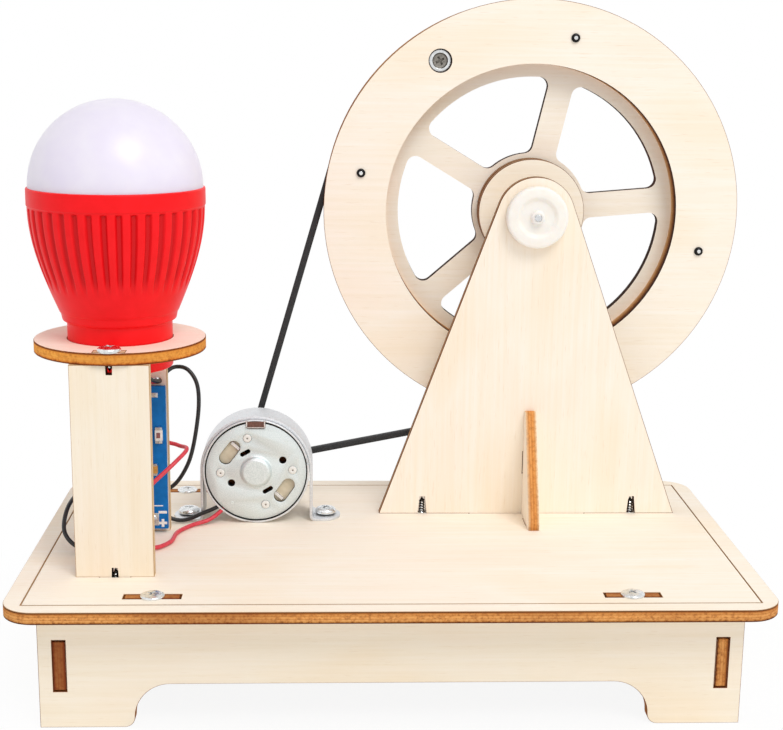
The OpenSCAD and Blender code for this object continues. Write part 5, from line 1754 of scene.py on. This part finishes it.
# Points in millimetres from the middle of the plate's top
ROUTES = {
    "motor_lead_red": (RED_PVC, "red_lead", [
        (-44.4, 12.9, 3.8), (-48, 11, 1.4), (-52.6, 8.2, 0.7), (-55.8, 2.4, 0.7),
        (-56.8, -5, 0.7), (-60.6, -10.2, 1), (-65.4, -8.4, 2.4), (-64.8, -2, 3.7),
        (-62.4, 3.2, 3.9)]),
    "motor_lead_black": (BLACK_PVC, "black_lead", [
        (-45.5, 12.9, 4.6), (-49.4, 12.4, 3), (-57, 11.8, 1), (-68, 12.8, 6.6),
        (-76, 12, 10.2), (-80.6, 6, 11.6), (-83, -4, 10), (-83, -10, 5), (-78.4, -12, 1.6),
        (-72.8, -6, 2.6), (-71.8, 3.2, 3.9)]),
    "lamp_lead_red": (RED_PVC, "red_lead", [
        (-67, -6, 48.8), (-64.8, -1, 43.6), (-61.5, 5, 41.1), (-61.7, 10.6, 40),
        (-63, 12.8, 33), (-61, 12, 24.4), (-56, 9.6, 22.7), (-53.2, 5.4, 22.8),
        (-55.6, 0.2, 20.8), (-60, -3.2, 17.2), (-63.4, -4.6, 14.2), (-65.8, -2, 12.6),
        (-65.4, 3.2, 12)]),
    "lamp_lead_black": (BLACK_PVC, "black_lead", [
        (-63.6, -6, 48.8), (-62, -1, 43.6), (-60.1, 5, 41.3), (-59.8, 10.4, 41.4),
        (-57, 13.2, 43.2), (-53.2, 12.6, 42.6), (-50.6, 11.4, 38), (-50.8, 10.6, 29),
        (-53.6, 10.4, 17), (-59.6, 11, 10), (-68, 11.4, 14.4), (-77.4, 9.4, 18),
        (-79.2, 2.2, 17), (-76, -4, 14.2), (-71.4, -2.8, 12.4), (-70.6, 3.2, 12)]),
}


def smooth_route(points, steps):
    """A curve through all the points, with the ends repeated."""
    p = [Vector(q) for q in (points[0], *points, points[-1])]
    line = []
    for a, b, c, d in zip(p, p[1:], p[2:], p[3:]):
        for t in (k / steps for k in range(steps)):
            line.append(0.5 * (2 * b + (c - a) * t + (2 * a - 5 * b + 4 * c - d) * t * t
                               + (3 * b - a - 3 * c + d) * t * t * t))
    return [*line, p[-1]]


def sheath_tree():
    tree, given = new_tree("sweep_sheath", {"Radius": "Float", "Material": "Material"})
    line = add(tree, "GeometryNodeMeshToCurve", {"Mesh": given["Geometry"]})
    circle = add(tree, "GeometryNodeCurvePrimitiveCircle", {
        "Resolution": 20, "Radius": given["Radius"]})
    tube = add(tree, "GeometryNodeCurveToMesh", {
        "Curve": line.outputs[0], "Profile Curve": circle.outputs[0], "Fill Caps": True})
    return end_tree(tree, tube.outputs[0], given["Material"])


SHEATH = sheath_tree()
for lead, (material, slot, route) in ROUTES.items():
    line = [PLATE + p * MM for p in smooth_route(route, ROUTE_STEPS)]
    wire = bpy.data.meshes.new(lead)
    wire.from_pydata(line, [(k, k + 1) for k in range(len(line) - 1)], [])
    tube = run_tree(SHEATH, wire, {"Radius": LEAD_D / 2 * MM, "Material": material})
    obj = piece(lead + "_sheath", tube, slot, lead)

# %% [markdown]
# What lies inside the motor and the lamp can't be seen while they are closed, so it keeps its
# CAD shape. Each piece still gets a material of its own, for whoever takes the motor apart.

# %% Inner pieces
INNER = {
    "bulb_led_board": CERAMIC, "motor_brushes": COPPER, "motor_magnets": FERRITE,
    "motor_bushes": BRONZE, "motor_shaft": GROUND, "motor_armature": LAMINATE,
    "motor_commutator": COPPER,
}
for name, material in INNER.items():
    nodes[name].data.materials.clear()
    nodes[name].data.materials.append(material)
print("inner pieces:", ", ".join(INNER))

# %% [markdown]
# The object stands on a plain white floor that shows a soft shadow near the feet and turns
# into pure white further out. Only rays from the camera, and those that a shiny or clear
# surface sends out, see the glow, so it throws no light on the object.

# %% Floor
SHADOW_R = 0.14
FLOOR_SIZE = 6
FLOOR_GLOW = 0.90


def sees_white(tree):
    """1 for a ray from the camera or from a shiny or clear surface, and 0 for the others."""
    rays = add(tree, "ShaderNodeLightPath").outputs
    seen = add(tree, "ShaderNodeMath", {0: rays["Is Camera Ray"], 1: rays["Is Glossy Ray"]},
               operation="MAXIMUM").outputs[0]
    return add(tree, "ShaderNodeMath", {0: seen, 1: rays["Is Transmission Ray"]},
               operation="MAXIMUM").outputs[0]


def studio_paper():
    """Matt white paper near the object, glowing white further out."""
    material = bpy.data.materials.new("studio_paper")
    material.use_nodes = True
    tree = material.node_tree
    tree.nodes.clear()
    matt = add(tree, "ShaderNodeBsdfDiffuse", {"Color": "#f6f6f6"})
    glow = add(tree, "ShaderNodeEmission", {"Color": "#ffffff", "Strength": 1.0})
    point = add(tree, "ShaderNodeTexCoord").outputs["Object"]
    far = add(tree, "ShaderNodeVectorMath", {0: point}, operation="LENGTH").outputs["Value"]
    fade = add(tree, "ShaderNodeMapRange", {
        "Value": far, "From Min": SHADOW_R * 0.5, "From Max": SHADOW_R,
        "To Min": FLOOR_GLOW, "To Max": 1.0}).outputs[0]
    amount = add(tree, "ShaderNodeMath", {0: fade, 1: sees_white(tree)},
                 operation="MULTIPLY").outputs[0]
    mix = add(tree, "ShaderNodeMixShader", {0: amount, 1: matt.outputs[0], 2: glow.outputs[0]})
    add(tree, "ShaderNodeOutputMaterial", {"Surface": mix.outputs[0]})
    return material


def floor():
    bm = bmesh.new()
    bmesh.ops.create_grid(bm, x_segments=1, y_segments=1, size=FLOOR_SIZE)
    mesh = new_mesh(bm)
    mesh.materials.append(studio_paper())
    new_object("studio_floor", mesh)
    print("the floor is", 2 * FLOOR_SIZE, "m wide")


floor()

# %% [markdown]
# The light comes from a pale sky all round and from one large lamp in front, above and to the
# right. The sky looks white to the camera and in reflections, but it lights the object at a
# plain level, so that a colour renders about as it is written.

# %% Sky and lamp
SKY = 0.69
LAMP_SPOT = (0.42, -0.76, 1.17)
LAMP_SIZE = 0.7
LAMP_POWER = 8.1


def sky():
    world = bpy.data.worlds.new("white_room")
    bpy.context.scene.world = world
    world.use_nodes = True
    tree = world.node_tree
    tree.nodes.clear()
    strength = add(tree, "ShaderNodeMapRange", {
        "Value": sees_white(tree), "To Min": SKY, "To Max": 1.0})
    light = add(tree, "ShaderNodeBackground", {
        "Color": "#ffffff", "Strength": strength.outputs[0]})
    add(tree, "ShaderNodeOutputWorld", {"Surface": light.outputs[0]})


def area_lamp(name, spot, size, power):
    """A round lamp that faces the middle of the object."""
    lamp = new_object(name, bpy.data.lights.new(name, "AREA"))
    lamp.data.shape = "DISK"
    lamp.data.size = size
    lamp.data.energy = power
    away = Vector(spot) - (cad_low + cad_high) / 2
    facing = away.to_track_quat("Z", "Y").to_matrix().to_4x4()
    lamp.matrix_world = Matrix.Translation(spot) @ facing


sky()
area_lamp("front_lamp", LAMP_SPOT, LAMP_SIZE, LAMP_POWER)
bpy.context.scene.view_settings.view_transform = "Standard"
print("sky", SKY, "and a lamp of", LAMP_POWER, "W")
